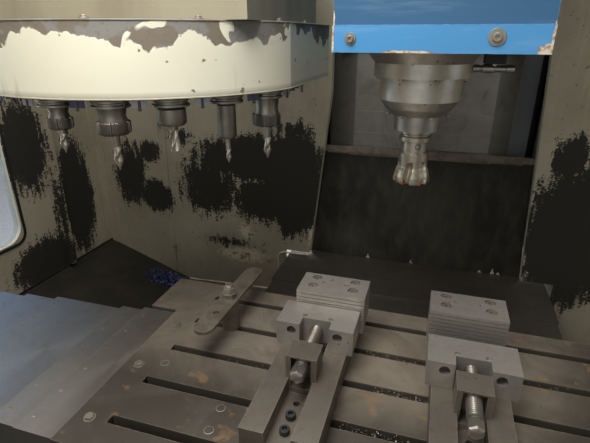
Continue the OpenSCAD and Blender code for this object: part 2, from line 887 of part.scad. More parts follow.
// The saddle: a slab on the base ways with two ways, a nut and a motor of its own
module saddle() {
    x0 = saddle_x - saddle_l / 2;
    x1 = saddle_x + saddle_l / 2;
    color(iron) {
        box([x0, saddle_front, saddle_low], [x1, saddle_back, saddle_top]);
        for (s = [-1, 1])
            box([x0, table_y + s * saddle_way_span / 2 - way_w / 2, saddle_top],
                [x1, table_y + s * saddle_way_span / 2 + way_w / 2, saddle_way_top]);
        difference() {
            box([-40, table_y - 60, y_screw_z - 30], [40, table_y + 60, saddle_low]);
            rod_y([0, table_y - 61, y_screw_z], 122, bore_r);
        }
        for (x = [x0, x1 - bearing_t])
            difference() {
                box([x, table_y - 45, saddle_top], [x + bearing_t, table_y + 45, x_screw_z + 35]);
                rod_x([x - cut, table_y, x_screw_z], bearing_t + 2 * cut, bore_r);
            }
        box([x1, table_y - 45, x_screw_z - 45], [x1 + motor_l, table_y + 45, x_screw_z + 40]);
    }
}
module x_screw() {
    color(steel)
        rod_x([saddle_x - saddle_l / 2 + 12, table_y, x_screw_z], saddle_l - 13, screw_r);
}

// One cover plate over the X ways, with a front and a rear skirt
module x_cover(x0, x1, level) {
    half = cover_d / 2 - level * plate_step;
    top = table_h - level * plate_step;
    box([x0, cover_y - half, top - plate_t], [x1, cover_y + half, top]);
    for (y = [cover_y - half, cover_y + half - plate_t])
        box([x0, y, top - skirt_h], [x1, y + plate_t, top]);
}
function run_to(list, n) = n < 0 ? 0 : list[n] + run_to(list, n - 1);
module left_x_cover(n) {
    x0 = left_end - run_to(left_show, n - 1);
    color(steel)
        x_cover(x0, x0 + left_len[n - 1], n);
}
module right_x_cover(n) {
    x1 = right_end + run_to(right_show, n - 1);
    color(steel)
        x_cover(x1 - right_len[n - 1], x1, n);
}

// The outermost plate at each end with the beams that carry it from the saddle
module x_cover_wings() {
    left_face = saddle_x - saddle_l / 2;
    beam_low = saddle_top - 30;
    left_wing_z = table_h - (len(left_show) + 1) * plate_step;
    right_wing_z = table_h - (len(right_show) + 1) * plate_step;
    right_face = saddle_x + saddle_l / 2;
    color(steel) {
        x_cover(-wing_left, -wing_left + wing_left_l, len(left_show) + 1);
        x_cover(wing_right - wing_right_l, wing_right, len(right_show) + 1);
        for (y = [cover_y - 150, cover_y + 150]) {
            box([-wing_left, y - 20, beam_low], [left_face, y + 20, beam_low + 70]);
            box([right_face, y - 20, beam_low], [wing_right, y + 20, beam_low + 70]);
            box([-wing_left, y - 20, saddle_top], [-wing_left + 12, y + 20, left_wing_z - plate_t]);
            box([wing_right - 12, y - 20, saddle_top], [wing_right, y + 20, right_wing_z - plate_t]);
        }
        for (x = [-wing_left, wing_right - 12])
            box([x, cover_y - 150, saddle_top - 12], [x + 12, cover_y + 150, saddle_top]);
    }
}

// The table: T-slots along X, two runners, a nut and a cover plate at each end
module table() {
    color(iron) {
        difference() {
            box([table_left, table_front, table_low], [table_right, table_front + table_d, table_h]);
            for (i = [0 : slot_n - 1])
                t_slot(table_y + (i - (slot_n - 1) / 2) * slot_pitch);
        }
        for (s = [-1, 1])
            box([table_left, table_y + s * saddle_way_span / 2 - way_w / 2, table_low - runner_t],
                [table_right, table_y + s * saddle_way_span / 2 + way_w / 2, table_low]);
        difference() {
            box([table_x - 60, table_y - 38, saddle_top + 3], [table_x + 60, table_y + 38, table_low]);
            rod_x([table_x - 61, table_y, x_screw_z], 122, bore_r);
        }
        x_cover(left_end, table_left, 0);
        x_cover(table_right, right_end, 0);
        box([table_left - rear_strip_l, cover_y + cover_d / 2 + 2, table_h - rear_strip_t],
            [table_left, table_front + table_d, table_h]);
    }
}
module t_slot(y) {
    last = table_y + (slot_n - 1) / 2 * slot_pitch;
    x0 = table_left - (y > last - 1 ? rear_strip_l + cut : cut);
    box([x0, y - slot_w / 2, table_h - slot_depth], [table_right + cut, y + slot_w / 2, table_h + cut]);
    box([x0, y - slot_foot_w / 2, table_h - slot_depth],
        [table_right + cut, y + slot_foot_w / 2, table_h - slot_depth + slot_foot_h]);
}

// A round post with a bent strap and a nut, clamped to a T-slot
module clamp_post() {
    color(steel) {
        rod_z([post_x, post_y, table_h], post_h, 19);
        rod_z([post_x, post_y, table_h + post_h], 34, 8);
    }
}
module clamp_strap() {
    color(steel)
        translate([post_x, post_y, table_h + post_h])
            rotate([0, 0, strap_turn])
                difference() {
                    union() {
                        box([-20, -strap_front, 0], [20, strap_back, 8]);
                        for (y = [-strap_front, strap_back])
                            translate([0, y, 0])
                                cylinder(h = 8, r = 20, $fn = 48);
                        rotate([0, 0, 20])
                            translate([0, 0, 8])
                                cylinder(h = 12, r = 14, $fn = 6);
                    }
                    translate([0, 0, -cut])
                        cylinder(h = 30, r = 8.4, $fn = 48);
                    translate([0, -60, -cut])
                        cylinder(h = 12, r = 7, $fn = 48);
                }
}
post_x = -346;
post_y = axis_y - 180;
post_h = 66;
strap_turn = -2;
strap_front = 110;
strap_back = 125;

// A vise: base with two rails, a channel with pin holes, and the nut block pinned in it
module vise_base(x) {
    y0 = axis_y - vise_front;
    pin_pitch = 32;
    color(steel) {
        difference() {
            box([x - vise_w / 2, y0, table_h], [x + vise_w / 2, y0 + vise_l, table_h + vise_h]);
            box([x - channel_w / 2, y0 - cut, table_h + channel_t],
                [x + channel_w / 2, y0 + vise_l - 60, table_h + vise_h + cut]);
            for (i = [0 : 6])
                rod_z([x, y0 + 37 + i * pin_pitch, table_h - cut], channel_t + 2 * cut, 6);
        }
        nut_block(x);
    }
}
// The block with an open front, in which the screw turns
module nut_block(x) {
    cheek = 9;
    low = table_h + vise_h + slide_gap;
    high = table_h + vise_h + nut_h;
    difference() {
        union() {
            box([x - nut_w / 2, nut_front, low], [x + nut_w / 2, nut_front + nut_d, high]);
            box([x - channel_w / 2 + slide_gap, nut_front, table_h + channel_t - 0.5],
                [x + channel_w / 2 - slide_gap, nut_front + nut_d, low]);
        }
        box([x - nut_w / 2 + cheek, nut_front - cut, table_h + channel_t + 12],
            [x + nut_w / 2 - cheek, nut_front + nut_d - 14, high - 3]);
        rod_y([x, nut_front - cut, vise_screw_z], nut_d + 2 * cut, vise_screw_d / 2 + run_gap);
    }
}
nut_front = axis_y - vise_front + 125;
nut_d = 46;
nut_h = 46;
vise_screw_z = table_h + vise_h + 26;

// The fixed jaw: layers on its front, four counterbored screw holes and two pin holes
fixed_y = axis_y - 191;
module fixed_jaw(x) {
    z0 = table_h + vise_h;
    layer = fixed_h / layer_n;
    groove = 0.8;
    bolt_x = 40;
    color(steel)
        difference() {
            box([x - fixed_w / 2, fixed_y, z0], [x + fixed_w / 2, fixed_y + fixed_d, z0 + fixed_h]);
            for (i = [1 : layer_n - 1])
                box([x - fixed_w / 2 - cut, fixed_y - cut, z0 + i * layer - groove],
                    [x + fixed_w / 2 + cut, fixed_y + layer_groove, z0 + i * layer + groove]);
            for (side = [-1, 1]) {
                for (y = [26, 59]) {
                    rod_z([x + side * bolt_x, fixed_y + y, z0 + fixed_h - 9], 10, 10);
                    rod_z([x + side * bolt_x, fixed_y + y, z0 + fixed_h - 20], 12, 5);
                }
                rod_z([x + side * 23, fixed_y + 42, z0 + fixed_h - 8], 9, 4);
            }
        }
}

// The moving jaw: two wings before a recess, and a tongue in the channel
function jaw_front(gap) = fixed_y - gap - jaw_d;
module moving_jaw(x, gap) {
    z0 = table_h + vise_h + slide_gap;
    front = jaw_front(gap);
    back = fixed_y - gap;
    recess_d = 24;
    color(steel)
        difference() {
            union() {
                box([x - jaw_w / 2, front, z0], [x + jaw_w / 2, back, z0 + jaw_h]);
                box([x - channel_w / 2 + 0.5, front + 34, z0 - 24], [x + channel_w / 2 - 0.5, back, z0]);
            }
            box([x - nut_w / 2 - 1, front - cut, z0 - cut], [x + nut_w / 2 + 1, front + recess_d, z0 + jaw_h + cut]);
            for (side = [-1, 1]) {
                rod_y([x + side * 44, front - cut, z0 + 34], 26, 9);
                rod_z([x + side * 25, front + 32, z0 + jaw_h - 6], 7, 5);
            }
        }
}
// The screw pushes the jaw from the nut block; its hexagon takes the crank
module vise_screw(x, gap) {
    front = jaw_front(gap);
    hex_l = 22;
    color(steel) {
        rod_y([x, front - 93, vise_screw_z], 93 + 24 - slide_gap, vise_screw_d / 2);
        translate([x, front - 93 - hex_l, vise_screw_z])
            rotate([-90, 0, 0])
                cylinder(h = hex_l, r = 13, $fn = 6);
    }
}

// The head: a neck with the spindle's bore and a slide plate on the column ways
module head_casting() {
    color(iron)
        difference() {
            union() {
                box([-neck_w / 2, axis_y - neck_front, neck_low],
                    [neck_w / 2, slide_front, neck_low + neck_h]);
                difference() {
                    box([-280, slide_front, z_slide_low], [280, column_way_front - slide_gap, neck_low + 420]);
                    box([-50, z_screw_y - 36, z_slide_low - cut], [50, column_way_front, neck_low + 421]);
                }
                box([-40, z_screw_y - 37, neck_low + 60], [40, column_front - 2, neck_low + 150]);
            }
            rod_z([0, axis_y, neck_low - cut], neck_h + 2 * cut, cartridge_r + run_gap);
            rod_z([0, z_screw_y, neck_low + 59], 92, bore_r);
        }
}
// Sheet metal over the head, open below and behind, with a bright band at its foot
module head_cover() {
    y0 = axis_y - cover_front;
    y1 = axis_y + cover_back;
    top = band_low + cover_h;
    color(blue)
        difference() {
            union() {
                box([-cover_left, y0, band_low], [cover_right, y1, band_low + band_h]);
                box([-cover_left, y0 + band_step, band_low], [cover_right, y1, top]);
            }
            box([-cover_left + sheet_t, y0 + band_step + sheet_t, band_low - cut],
                [cover_right - sheet_t, y1 + cut, top - sheet_t]);
            box([-cover_left + sheet_t, y0 + sheet_t, band_low - cut],
                [cover_right - sheet_t, y0 + band_step + sheet_t + cut, band_low + band_h - sheet_t]);
        }
    for (s = [-1, 1])
        color(blue)
            box([s > 0 ? neck_w / 2 : -cover_left + sheet_t, axis_y + 40, band_low + 60],
                [s > 0 ? cover_right - sheet_t : -neck_w / 2, axis_y + 90, band_low + 64]);
}

// The spindle housing below the head, a turned part with a bore for the spindle
module spindle_cartridge() {
    r = housing_d / 2;
    z0 = nose_z + nose_l;
    color(steel)
        translate([0, axis_y, 0])
            rotate_extrude($fn = 96)
                polygon([[nose_r + 0.3, z0], [nose_r + 6, z0], [r - 12, z0 + 14], [r - 3, z0 + 26],
                         [r, z0 + 30], [r, z0 + housing_l], [ring_d / 2, z0 + housing_l],
                         [ring_d / 2, cone_low], [ring_d / 2 + 22, neck_low], [cartridge_r, neck_low],
                         [cartridge_r, spindle_top - 30], [nose_r + 0.3, spindle_top - 30]]);
}
nose_r = nose_d / 2;
taper_top = nose_z + 65;

// The spindle with its taper, and the cutter with its shank in that taper
module spindle() {
    color(steel)
        translate([0, axis_y, 0])
            rotate_extrude($fn = 96)
                polygon([[22.3, nose_z], [nose_r, nose_z], [nose_r, spindle_top], [0, spindle_top],
                         [0, taper_top + 30], [12.9, taper_top + 30], [12.9, taper_top]]);
}
module face_mill() {
    r = cutter_d / 2;
    low = nose_z - 109;
    color(steel)
        difference() {
            translate([0, axis_y, 0])
                rotate_extrude($fn = 96)
                    polygon([[0, low + 8], [r - 14, low + 8], [r - 12, low + 2], [r - 1, low + 2],
                             [r - 1, low + 16], [r - 6, low + 22], [r - 8, low + cutter_h],
                             [25.7, low + cutter_h], [25.7, nose_z - 22], [31.5, nose_z - 22],
                             [31.5, nose_z - 14], [28, nose_z - 12], [28, nose_z - 9], [31.5, nose_z - 7],
                             [31.5, nose_z], [22.2, nose_z], [12.7, taper_top], [0, taper_top]]);
            for (i = [0 : insert_n - 1])
                translate([0, axis_y, low - cut])
                    rotate([0, 0, i * 360 / insert_n])
                        translate([r - 13, 0, 0])
                            cube([20, 12, 20]);
        }
}
module spindle_motor() {
    color(dark) {
        rod_z([0, axis_y, spindle_top + 1], 20, cartridge_r - 5);
        box([-95, axis_y - 95, neck_low + neck_h], [95, axis_y + 95, neck_low + neck_h + 16]);
        box([-90, axis_y - 90, neck_low + neck_h + 16], [90, axis_y + 90, neck_low + neck_h + 270]);
    }
}

// The magazine's housing hangs on its two rails and carries the cover
module magazine_housing() {
    x0 = -mag_x - 300;
    x1 = -mag_x + 310;
    z1 = arm_low - 10;
    color(cream) {
        difference() {
            box([x0, axis_y - 215, mag_z + mag_h], [x1, axis_y + 215, z1]);
            box([x0 + 4, axis_y - 211, mag_z + mag_h - cut], [x1 - 4, axis_y + 211, z1 - 4]);
        }
        for (y = rail_y)
            for (x = [x0 + 20, -arm_out - 195])
                hanger(x, y, z1);
        box([-mag_x - 60, axis_y - 60, mag_z + mag_h + 60], [-mag_x + 60, axis_y + 60, z1 - 4]);
        rod_z([-mag_x, axis_y, mag_z + 24], mag_h + 40, 20);
    }
}
// A shoe around a rail, open on one side
module hanger(x, y, z1) {
    difference() {
        box([x, y - 32, z1], [x + 100, y + 32, arm_low + 52]);
        box([x - cut, y - 20 - slide_gap, arm_low - slide_gap], [x + 101, y + 20 + slide_gap, arm_low + 40 + slide_gap]);
    }
}

// The round cover over the tool disc, with a flat side towards the spindle
module magazine_cover() {
    color(cream)
        translate([-mag_x, axis_y, mag_z])
            difference() {
                linear_extrude(mag_h)
                    cover_outline(mag_r);
                translate([0, 0, -cut])
                    linear_extrude(mag_h - sheet_t + cut)
                        cover_outline(mag_r - sheet_t);
                translate([0, 0, mag_h / 2])
                    cylinder(h = mag_h, r = 24, $fn = 48);
            }
}
// How far the straight side runs back
mag_side = 240;

// The cover's outline: a disc cut flat on the right, where its side runs on to the back
module cover_outline(r) {
    flat = mag_flat - (mag_r - r);
    difference() {
        circle(r = r, $fn = 128);
        translate([flat, -r])
            square([r, 2 * r]);
    }
    translate([0, -mag_r / 8])
        square([flat, mag_r / 8 + mag_side - (mag_r - r)]);
}

// The tool disc with a forked pocket for each tool
module carousel() {
    color(iron)
        translate([-mag_x, axis_y, 0])
            difference() {
                union() {
                    translate([0, 0, mag_z + 8])
                        cylinder(h = 14, r = tool_r - 25, $fn = 128);
                    translate([0, 0, mag_z + 8])
                        cylinder(h = 55, r = 60, $fn = 64);
                    for (i = [0 : pocket_n - 1])
                        rotate([0, 0, tool_angle + i * pocket_step])
                            pocket();
                }
                translate([0, 0, mag_z])
                    cylinder(h = 80, r = 20 + run_gap, $fn = 64);
            }
}
module pocket() {
    difference() {
        translate([tool_r - 60, -27, mag_z])
            cube([64, 54, 24]);
        translate([tool_r, 0, mag_z - cut])
            cylinder(h = 26, r = 22.6, $fn = 48);
    }
}

// Five tools that hang in the pockets, each turned about its own axis
module magazine_tools() {
    color(steel)
        for (i = [0 : 4])
            translate([-mag_x, axis_y, mag_z])
                rotate([0, 0, tool_angle + i * pocket_step])
                    translate([tool_r, 0, 0])
                        magazine_tool(i);
}
// Rows of nut radius, nut length, body length, tool radius, tool length
tool_sizes = [[21, 20, 53, 7, 95], [28, 22, 59, 8, 122], [24, 28, 47, 9, 91],
              [17, 60, 79, 5, 125], [28, 24, 68, 8, 133]];
module magazine_tool(i) {
    t = tool_sizes[i];
    rotate_extrude($fn = 64)
        polygon([[0, 56], [0, -t[4]], [t[3], -t[4]], [t[3], -t[2]], [t[0] - 5, -t[2]],
                 [t[0], 5 - t[2]], [t[0], t[1] - t[2]], [t[0] - 6, t[1] - t[2] + 3], [t[0] - 6, -14],
                 [31.5, -14], [31.5, -1], [22.2, -1], [22.2, 16], [14, 56]]);
}

// Each sub-part is drawn for its own name, or with all the others
base();
levelling_feet();
column();
y_screw();
z_screw();
axis_motors();
side_panels();
back_panel();
front_panel();
side_windows();
chip_sheds();
y_cover_fixed();
z_cover_lower();
rubber_sheet();
clamp_bar();
electric_cabinet();
cabinet_door();
main_switch();
coolant_tank();
panel_arm();
control_panel();
stop_button();
start_button();
hold_button();
left_door();
right_door();
saddle();
x_screw();
x_cover_wings();
y_cover_saddle();
table();
clamp_post();
clamp_strap();
vise_base(vise_left_x);  // left_vise_base
fixed_jaw(vise_left_x + fixed_shift_left);  // left_fixed_jaw
moving_jaw(vise_left_x, jaw_gap_left);  // left_moving_jaw
vise_screw(vise_left_x, jaw_gap_left);  // left_vise_screw
vise_base(vise_right_x);  // right_vise_base
fixed_jaw(vise_right_x + fixed_shift_right);  // right_fixed_jaw
moving_jaw(vise_right_x, jaw_gap_right);  // right_moving_jaw
vise_screw(vise_right_x, jaw_gap_right);  // right_vise_screw
left_x_cover(1);  // left_x_cover_1
left_x_cover(2);  // left_x_cover_2
left_x_cover(3);  // left_x_cover_3
left_x_cover(4);  // left_x_cover_4
left_x_cover(5);  // left_x_cover_5
right_x_cover(1);  // right_x_cover_1
right_x_cover(2);  // right_x_cover_2
right_x_cover(3);  // right_x_cover_3
head_casting();
head_cover();
spindle_cartridge();
spindle();
face_mill();
spindle_motor();
z_cover_upper();
magazine_housing();
magazine_cover();
carousel();
magazine_tools();
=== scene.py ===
"""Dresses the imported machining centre: surface finishes for every node, the small parts
that the frame leaves out, the stage with its lamps, and the camera."""
import math
import random

import bmesh
import bpy
from bpy.props import FloatProperty, FloatVectorProperty, IntProperty, PointerProperty
from mathutils import Matrix, Vector


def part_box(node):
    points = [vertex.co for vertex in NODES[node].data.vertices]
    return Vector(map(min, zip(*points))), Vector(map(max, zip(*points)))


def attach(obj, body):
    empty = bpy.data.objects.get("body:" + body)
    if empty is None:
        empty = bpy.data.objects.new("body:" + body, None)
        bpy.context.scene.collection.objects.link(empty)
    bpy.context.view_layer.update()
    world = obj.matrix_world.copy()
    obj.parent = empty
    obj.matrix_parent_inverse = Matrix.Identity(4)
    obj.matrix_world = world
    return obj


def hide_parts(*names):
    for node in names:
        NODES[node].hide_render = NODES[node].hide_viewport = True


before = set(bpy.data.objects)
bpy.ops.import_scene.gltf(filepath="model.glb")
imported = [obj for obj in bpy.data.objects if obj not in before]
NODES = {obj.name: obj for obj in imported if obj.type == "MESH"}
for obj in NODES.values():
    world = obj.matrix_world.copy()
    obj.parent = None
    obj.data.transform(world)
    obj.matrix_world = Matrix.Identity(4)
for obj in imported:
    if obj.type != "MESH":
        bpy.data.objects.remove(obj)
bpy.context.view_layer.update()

bl_info = {
    "name": "Machining centre dressing",
    "version": (1, 0, 0),
    "blender": (4, 5, 0),
    "location": "View3D > Sidebar > Machine",
    "description": "Finishes, small parts, lamps and camera for a vertical machining centre",
    "category": "Object",
}

MM = 0.001

# Places that several pieces share, in millimetres
SPINDLE_Y = -250
MAGAZINE_X = -577
POCKET_Z = 1400
POCKET_OUT = 311.4
TABLE_Z = 900
WALL_X = 1252
WALL_Y = 300
SHED_SLOPE = 0.364

# Degrees to the magazine's first pocket, and from one pocket to the next
FIRST_POCKET = -90.5
POCKET_TURN = 18


def hex_colour(text):
    """An sRGB colour such as 'c8c2a8' as the linear RGBA that a shader takes."""
    parts = [int(text[i:i + 2], 16) / 255 for i in (0, 2, 4)]
    return tuple(p / 12.92 if p <= 0.04045 else ((p + 0.055) / 1.055) ** 2.4 for p in parts) + (1.0,)


class Signal:
    """A number that varies over a surface; arithmetic on it adds Math nodes."""

    def __init__(self, finish, socket):
        self.finish = finish
        self.socket = socket

    def _math(self, operation, *values):
        node = self.finish.node("ShaderNodeMath", {"operation": operation}, dict(enumerate(values)))
        return Signal(self.finish, node.outputs[0])

    def __add__(self, other):
        return self._math("ADD", self, other)

    def __sub__(self, other):
        return self._math("SUBTRACT", self, other)

    def __rsub__(self, other):
        return self._math("SUBTRACT", other, self)

    def __mul__(self, other):
        return self._math("MULTIPLY", self, other)

    __radd__ = __add__
    __rmul__ = __mul__

    def largest(self, other):
        return self._math("MAXIMUM", self, other)

    def clamped(self):
        return Signal(self.finish, self.finish.node("ShaderNodeClamp", {}, {0: self}).outputs[0])

    def above(self, level, softness=0.05):
        """0 below the level and 1 above it, with a soft step between."""
        return ((self - (level - softness)) * (0.5 / softness)).clamped()


class Finish:
    """A procedural material. Its patterns lie in the machine's own frame, in metres."""

    def __init__(self, name):
        self.material = bpy.data.materials.new(name)
        self.material.use_nodes = True
        self.tree = self.material.node_tree
        self.surface = self.tree.nodes["Principled BSDF"]
        self.coords = self.node("ShaderNodeTexCoord").outputs["Object"]

    def node(self, kind, settings=None, sockets=None):
        """Adds a node, first its settings and then the values or links of its sockets."""
        node = self.tree.nodes.new(kind)
        for name, value in (settings or {}).items():
            setattr(node, name, value)
        for key, value in (sockets or {}).items():
            self.feed(node.inputs[key], value)
        return node

    def feed(self, socket, value):
        """Links a socket to what varies, or gives it a constant; text stands for a colour."""
        if isinstance(value, str):
            value = hex_colour(value)
        if isinstance(value, Signal):
            value = value.socket
        if isinstance(value, bpy.types.NodeSocket):
            self.tree.links.new(value, socket)
        else:
            socket.default_value = value

    def noise(self, scale, detail=3.0, rough=0.55, stretch=(1, 1, 1), lumps=0.0):
        """Cloudy noise from 0 to 1; stretch packs it closer along an axis."""
        place = self.node("ShaderNodeMapping", {}, {"Vector": self.coords, "Scale": stretch})
        node = self.node("ShaderNodeTexNoise", {}, {
            "Vector": place.outputs[0], "Scale": scale, "Detail": detail, "Roughness": rough,
            "Distortion": lumps})
        return Signal(self, node.outputs["Fac"])

    def axis(self, name):
        node = self.node("ShaderNodeSeparateXYZ", {}, {0: self.coords})
        return Signal(self, node.outputs[name])

    def near(self, centre, radii):
        """1 at the centre of a blob, falling to 0 at its edge. Sizes in millimetres."""
        moved = self.node("ShaderNodeVectorMath", {"operation": "SUBTRACT"},
                          {0: self.coords, 1: [c * MM for c in centre]})
        scaled = self.node("ShaderNodeVectorMath", {"operation": "MULTIPLY"},
                           {0: moved.outputs[0], 1: [1 / (r * MM) for r in radii]})
        length = self.node("ShaderNodeVectorMath", {"operation": "LENGTH"}, {0: scaled.outputs[0]})
        return 1 - Signal(self, length.outputs["Value"])

    def blobs(self, rows):
        """The largest of several blobs, each with its own strength."""
        found = None
        for centre, radii, strength in rows:
            one = self.near(centre, radii) * strength
            found = one if found is None else found.largest(one)
        return found

    # the finishes mix a lighter colour along this mask: edge wear and painted highlight
    def edges(self, radius=1.2, gain=5.0):
        """1 along sharp outer and inner edges, 0 on the flats between them."""
        soft = self.node("ShaderNodeBevel", {"samples": 4}, {"Radius": radius * MM})
        flat = self.node("ShaderNodeNewGeometry")
        dot = self.node("ShaderNodeVectorMath", {"operation": "DOT_PRODUCT"},
                        {0: soft.outputs[0], 1: flat.outputs["Normal"]})
        return ((1 - Signal(self, dot.outputs["Value"])) * gain).clamped()

    def mix(self, factor, first, second):
        """A colour between two colours, each given as text, as numbers or as another mix."""
        node = self.node("ShaderNodeMix", {"data_type": "RGBA"}, {0: factor, 6: first, 7: second})
        return node.outputs[2]

    def shaded(self, colour, factor):
        """A colour made darker or brighter by a number that varies."""
        node = self.node("ShaderNodeVectorMath", {"operation": "SCALE"}, {0: colour, "Scale": factor})
        return node.outputs[0]

    def bump(self, height, distance=0.5, strength=0.5, before=None):
        sockets = {"Height": height, "Distance": distance * MM, "Strength": strength}
        if before is not None:
            sockets["Normal"] = before
        return self.node("ShaderNodeBump", {}, sockets).outputs[0]

    def set(self, **values):
        """Feeds the surface: base, rough, metal, normal, coat and alpha may vary, the rest is constant."""
        names = {"base": "Base Color", "rough": "Roughness", "metal": "Metallic", "normal": "Normal",
                 "coat": "Coat Weight", "coat_rough": "Coat Roughness", "alpha": "Alpha", "ior": "IOR",
                 "specular": "Specular IOR Level", "anisotropic": "Anisotropic"}
        for name, value in values.items():
            self.feed(self.surface.inputs[names[name]], value)
        return self.material


WALL_STAINS_AND_SHADOWS = [
    # centre, radii and strength of each dark blob, in millimetres: coolant stains, and painted shadows of the
    # magazine and the head on the back wall and of the tools on the left wall
    ((-765, 300, 960), (210, 60, 190), 0.74), ((-870, 300, 1150), (120, 60, 60), 0.50),
    ((-540, 300, 1080), (360, 60, 130), 1.10), ((-430, 300, 1000), (150, 60, 280), 1.30),
    ((-540, 300, 930), (230, 60, 150), 0.85), ((-1010, 300, 1080), (75, 60, 70), 0.75),
    ((-1000, 300, 900), (110, 60, 100), 1.05), ((-1110, 300, 980), (110, 60, 210), 0.85),
    ((-700, 300, 740), (260, 60, 60), 0.42), ((-720, 300, 1060), (200, 60, 170), 0.62),
    ((-430, 300, 1190), (130, 60, 60), 0.62),
    ((480, 300, 900), (190, 60, 330), 1.25), ((430, 300, 1160), (80, 60, 110), 0.85),
    ((640, 300, 1000), (330, 60, 260), 1.10), ((900, 300, 900), (300, 60, 230), 0.80),
    ((-1252, 150, 920), (60, 110, 320), 1.20), ((-1252, -40, 1150), (60, 130, 240), 1.0),
    ((-1240, 52, 900), (60, 60, 260), 0.55),
    ((-1252, -40, 740), (60, 220, 130), 1.0), ((1252, -200, 760), (60, 400, 160), 0.9),
]


def wall_paint(name, tint, grime, outside):
    """Cream enamel under a brown film, with black blobs that break up into specks: coolant stains and painted
    shadows.
    """
    f = Finish(name)
    x, y = f.axis("X"), f.axis("Y")
    # 1 inside the enclosure, between the side walls, the back wall and the front wall, in metres
    half_width_squared, back, front, steep = 1.5713, 0.306, -1.296, 400
    inside = (((half_width_squared - x * x) * steep).clamped() * ((back - y) * steep).clamped()
              * ((y - front) * steep).clamped())
    fine = f.noise(150, 4, 0.65)
    middle = f.noise(42, 3, 0.6)
    broad = f.noise(4.5, 3, 0.5)
    film = f.mix((broad * 1.5 - 0.35).clamped(), tint, grime)
    streak = f.noise(10, 3, 0.6, stretch=(6, 6, 0.7))
    film = f.mix((streak - 0.52) * 0.9, film, "c9c3ae")
    low = (1 - f.axis("Z") * 1.25).clamped()
    film = f.mix(low * 0.9, film, "857c6a")
    stain_and_shadow_zone = f.blobs(WALL_STAINS_AND_SHADOWS).clamped() * inside
    grain = fine * 0.62 + middle * 0.38
    # stain covers the coolant stains and the painted shadows alike, speckled at their rims
    stain = ((stain_and_shadow_zone * 2.6 + (streak - 0.5) * 1.8 + grain * 3.4 - 2.40).above(0.12, 0.09)
             * stain_and_shadow_zone.above(0.05, 0.03))
    chalk = (f.blobs([((-350, 300, 860), (42, 60, 240), 1.0), ((-640, 300, 690), (190, 60, 60), 0.9),
                      ((340, 300, 900), (34, 60, 300), 0.9), ((-620, 300, 790), (60, 60, 70), 0.8)])
             .clamped() * 1.3 + grain * 2.8 - 1.85).above(0.1, 0.08)
    flaked = f.mix(middle.above(0.56, 0.05), "d6cfb8", "8a6a3c")
    film = f.mix(chalk * 0.8, film, flaked)
    specks = f.noise(85, 2, 0.5).above(0.70, 0.02) * broad.above(0.5, 0.2)
    tone = f.mix(specks * 0.7, film, "4a4136")
    base = f.mix(stain, tone, f.mix(fine, "23221d", "3b3932"))
    # here it is the clean paint outside the enclosure, with no sheen
    clean_and_window_sheen = f.mix((middle - 0.5) * 0.5 + 0.2, outside, f.mix(broad, outside, "c2bca8"))
    base = f.mix(inside, clean_and_window_sheen, base)
    normal = f.bump(stain * 0.6 + fine * 0.4, 0.5, 0.5)
    return f.set(base=base, rough=0.42 + stain * 0.25 + fine * 0.12, normal=normal, specular=0.35)


def clean_paint(name, colour, soil=0.25):
    """Sheet-metal enamel on the outside: even, a little dusty, lighter at its edges, partly rubbed wear and
    partly painted highlight.
    """
    f = Finish(name)
    cloud = f.noise(2.5, 3, 0.5)
    skin = f.noise(220, 2, 0.5)
    smear = f.noise(9, 4, 0.6, stretch=(1, 1, 0.25)).above(0.57, 0.12)
    low = (1 - f.axis("Z") * 2.2).clamped()
    base = f.mix(cloud * 0.4, colour, [c * 0.86 for c in colour[:3]] + [1.0])
    base = f.mix((smear + low * 0.8).clamped() * soil, base, "7d7462")
    # lighter along edges: edge wear and painted highlight
    base = f.mix(f.edges(1.5, 4) * 0.35, base, "aba58f")
    return f.set(base=base, rough=0.38 + smear * 0.15, specular=0.4, normal=f.bump(skin, 0.12, 0.3))


def magazine_paint(name, low_edge, high_edge):
    """Cream enamel that has come off along the top edge, down to a grey primer."""
    f = Finish(name)
    height = (f.axis("Z") - low_edge * MM) * (1000 / (high_edge - low_edge))
    wander = f.noise(9, 3, 0.5, stretch=(1, 1, 0.2))
    ragged = f.noise(38, 3, 0.6)
    flake = height + (wander - 0.5) * 1.0 + (ragged - 0.5) * 0.26
    bare = flake.above(0.77, 0.010)
    islands = (f.noise(17, 2, 0.5, lumps=0.4) + (0.86 - height) * 0.35).above(0.61, 0.006)
    bare = bare * (1 - islands)
    rim = height.above(0.975, 0.004)
    bare = bare.largest(rim)
    second = f.noise(11, 3, 0.6, stretch=(1, 1, 1.6)).above(0.53, 0.02)
    primer = f.mix(second, "7b7164", "84827c")
    primer = f.mix(f.noise(120, 4, 0.7).above(0.60, 0.06) * 0.5, primer, "6d6150")
    cream = f.mix(f.noise(6, 2, 0.5), "ddd8c1", "e9e5d2")
    marks = f.noise(60, 2, 0.4).above(0.725, 0.008)
    drips = f.noise(26, 2, 0.5, stretch=(1, 1, 0.15)).above(0.70, 0.03) * (1 - height).clamped()
    cream = f.mix(marks * 0.9, cream, "6b6355")
    cream = f.mix(drips * 0.35, cream, "a39a80")
    foot = (1 - height * 9).clamped()
    # painted bluish shade over the cover's left end, with dark specks of stain in it
    dark_end = f.blobs([((-925, -330, 1450), (110, 260, 190), 1.2)]).clamped()
    splash = (dark_end * 2.2 + ragged * 1.6 - 1.5).above(0.2, 0.25)
    cream = f.mix(splash * 0.8, cream, "4c545c")
    cream = f.mix(foot * 0.75, cream, "6f6655")
    step = flake.above(0.80, 0.02) - flake.above(0.83, 0.02)
    base = f.mix(bare, cream, primer)
    base = f.mix((step * (1 - bare)).clamped() * 0.25, base, "b7b09a")
    return f.set(base=base, rough=0.38 + bare * 0.3 + ragged * 0.08, specular=0.4,
                 normal=f.bump(1 - bare, 0.7, 0.8))


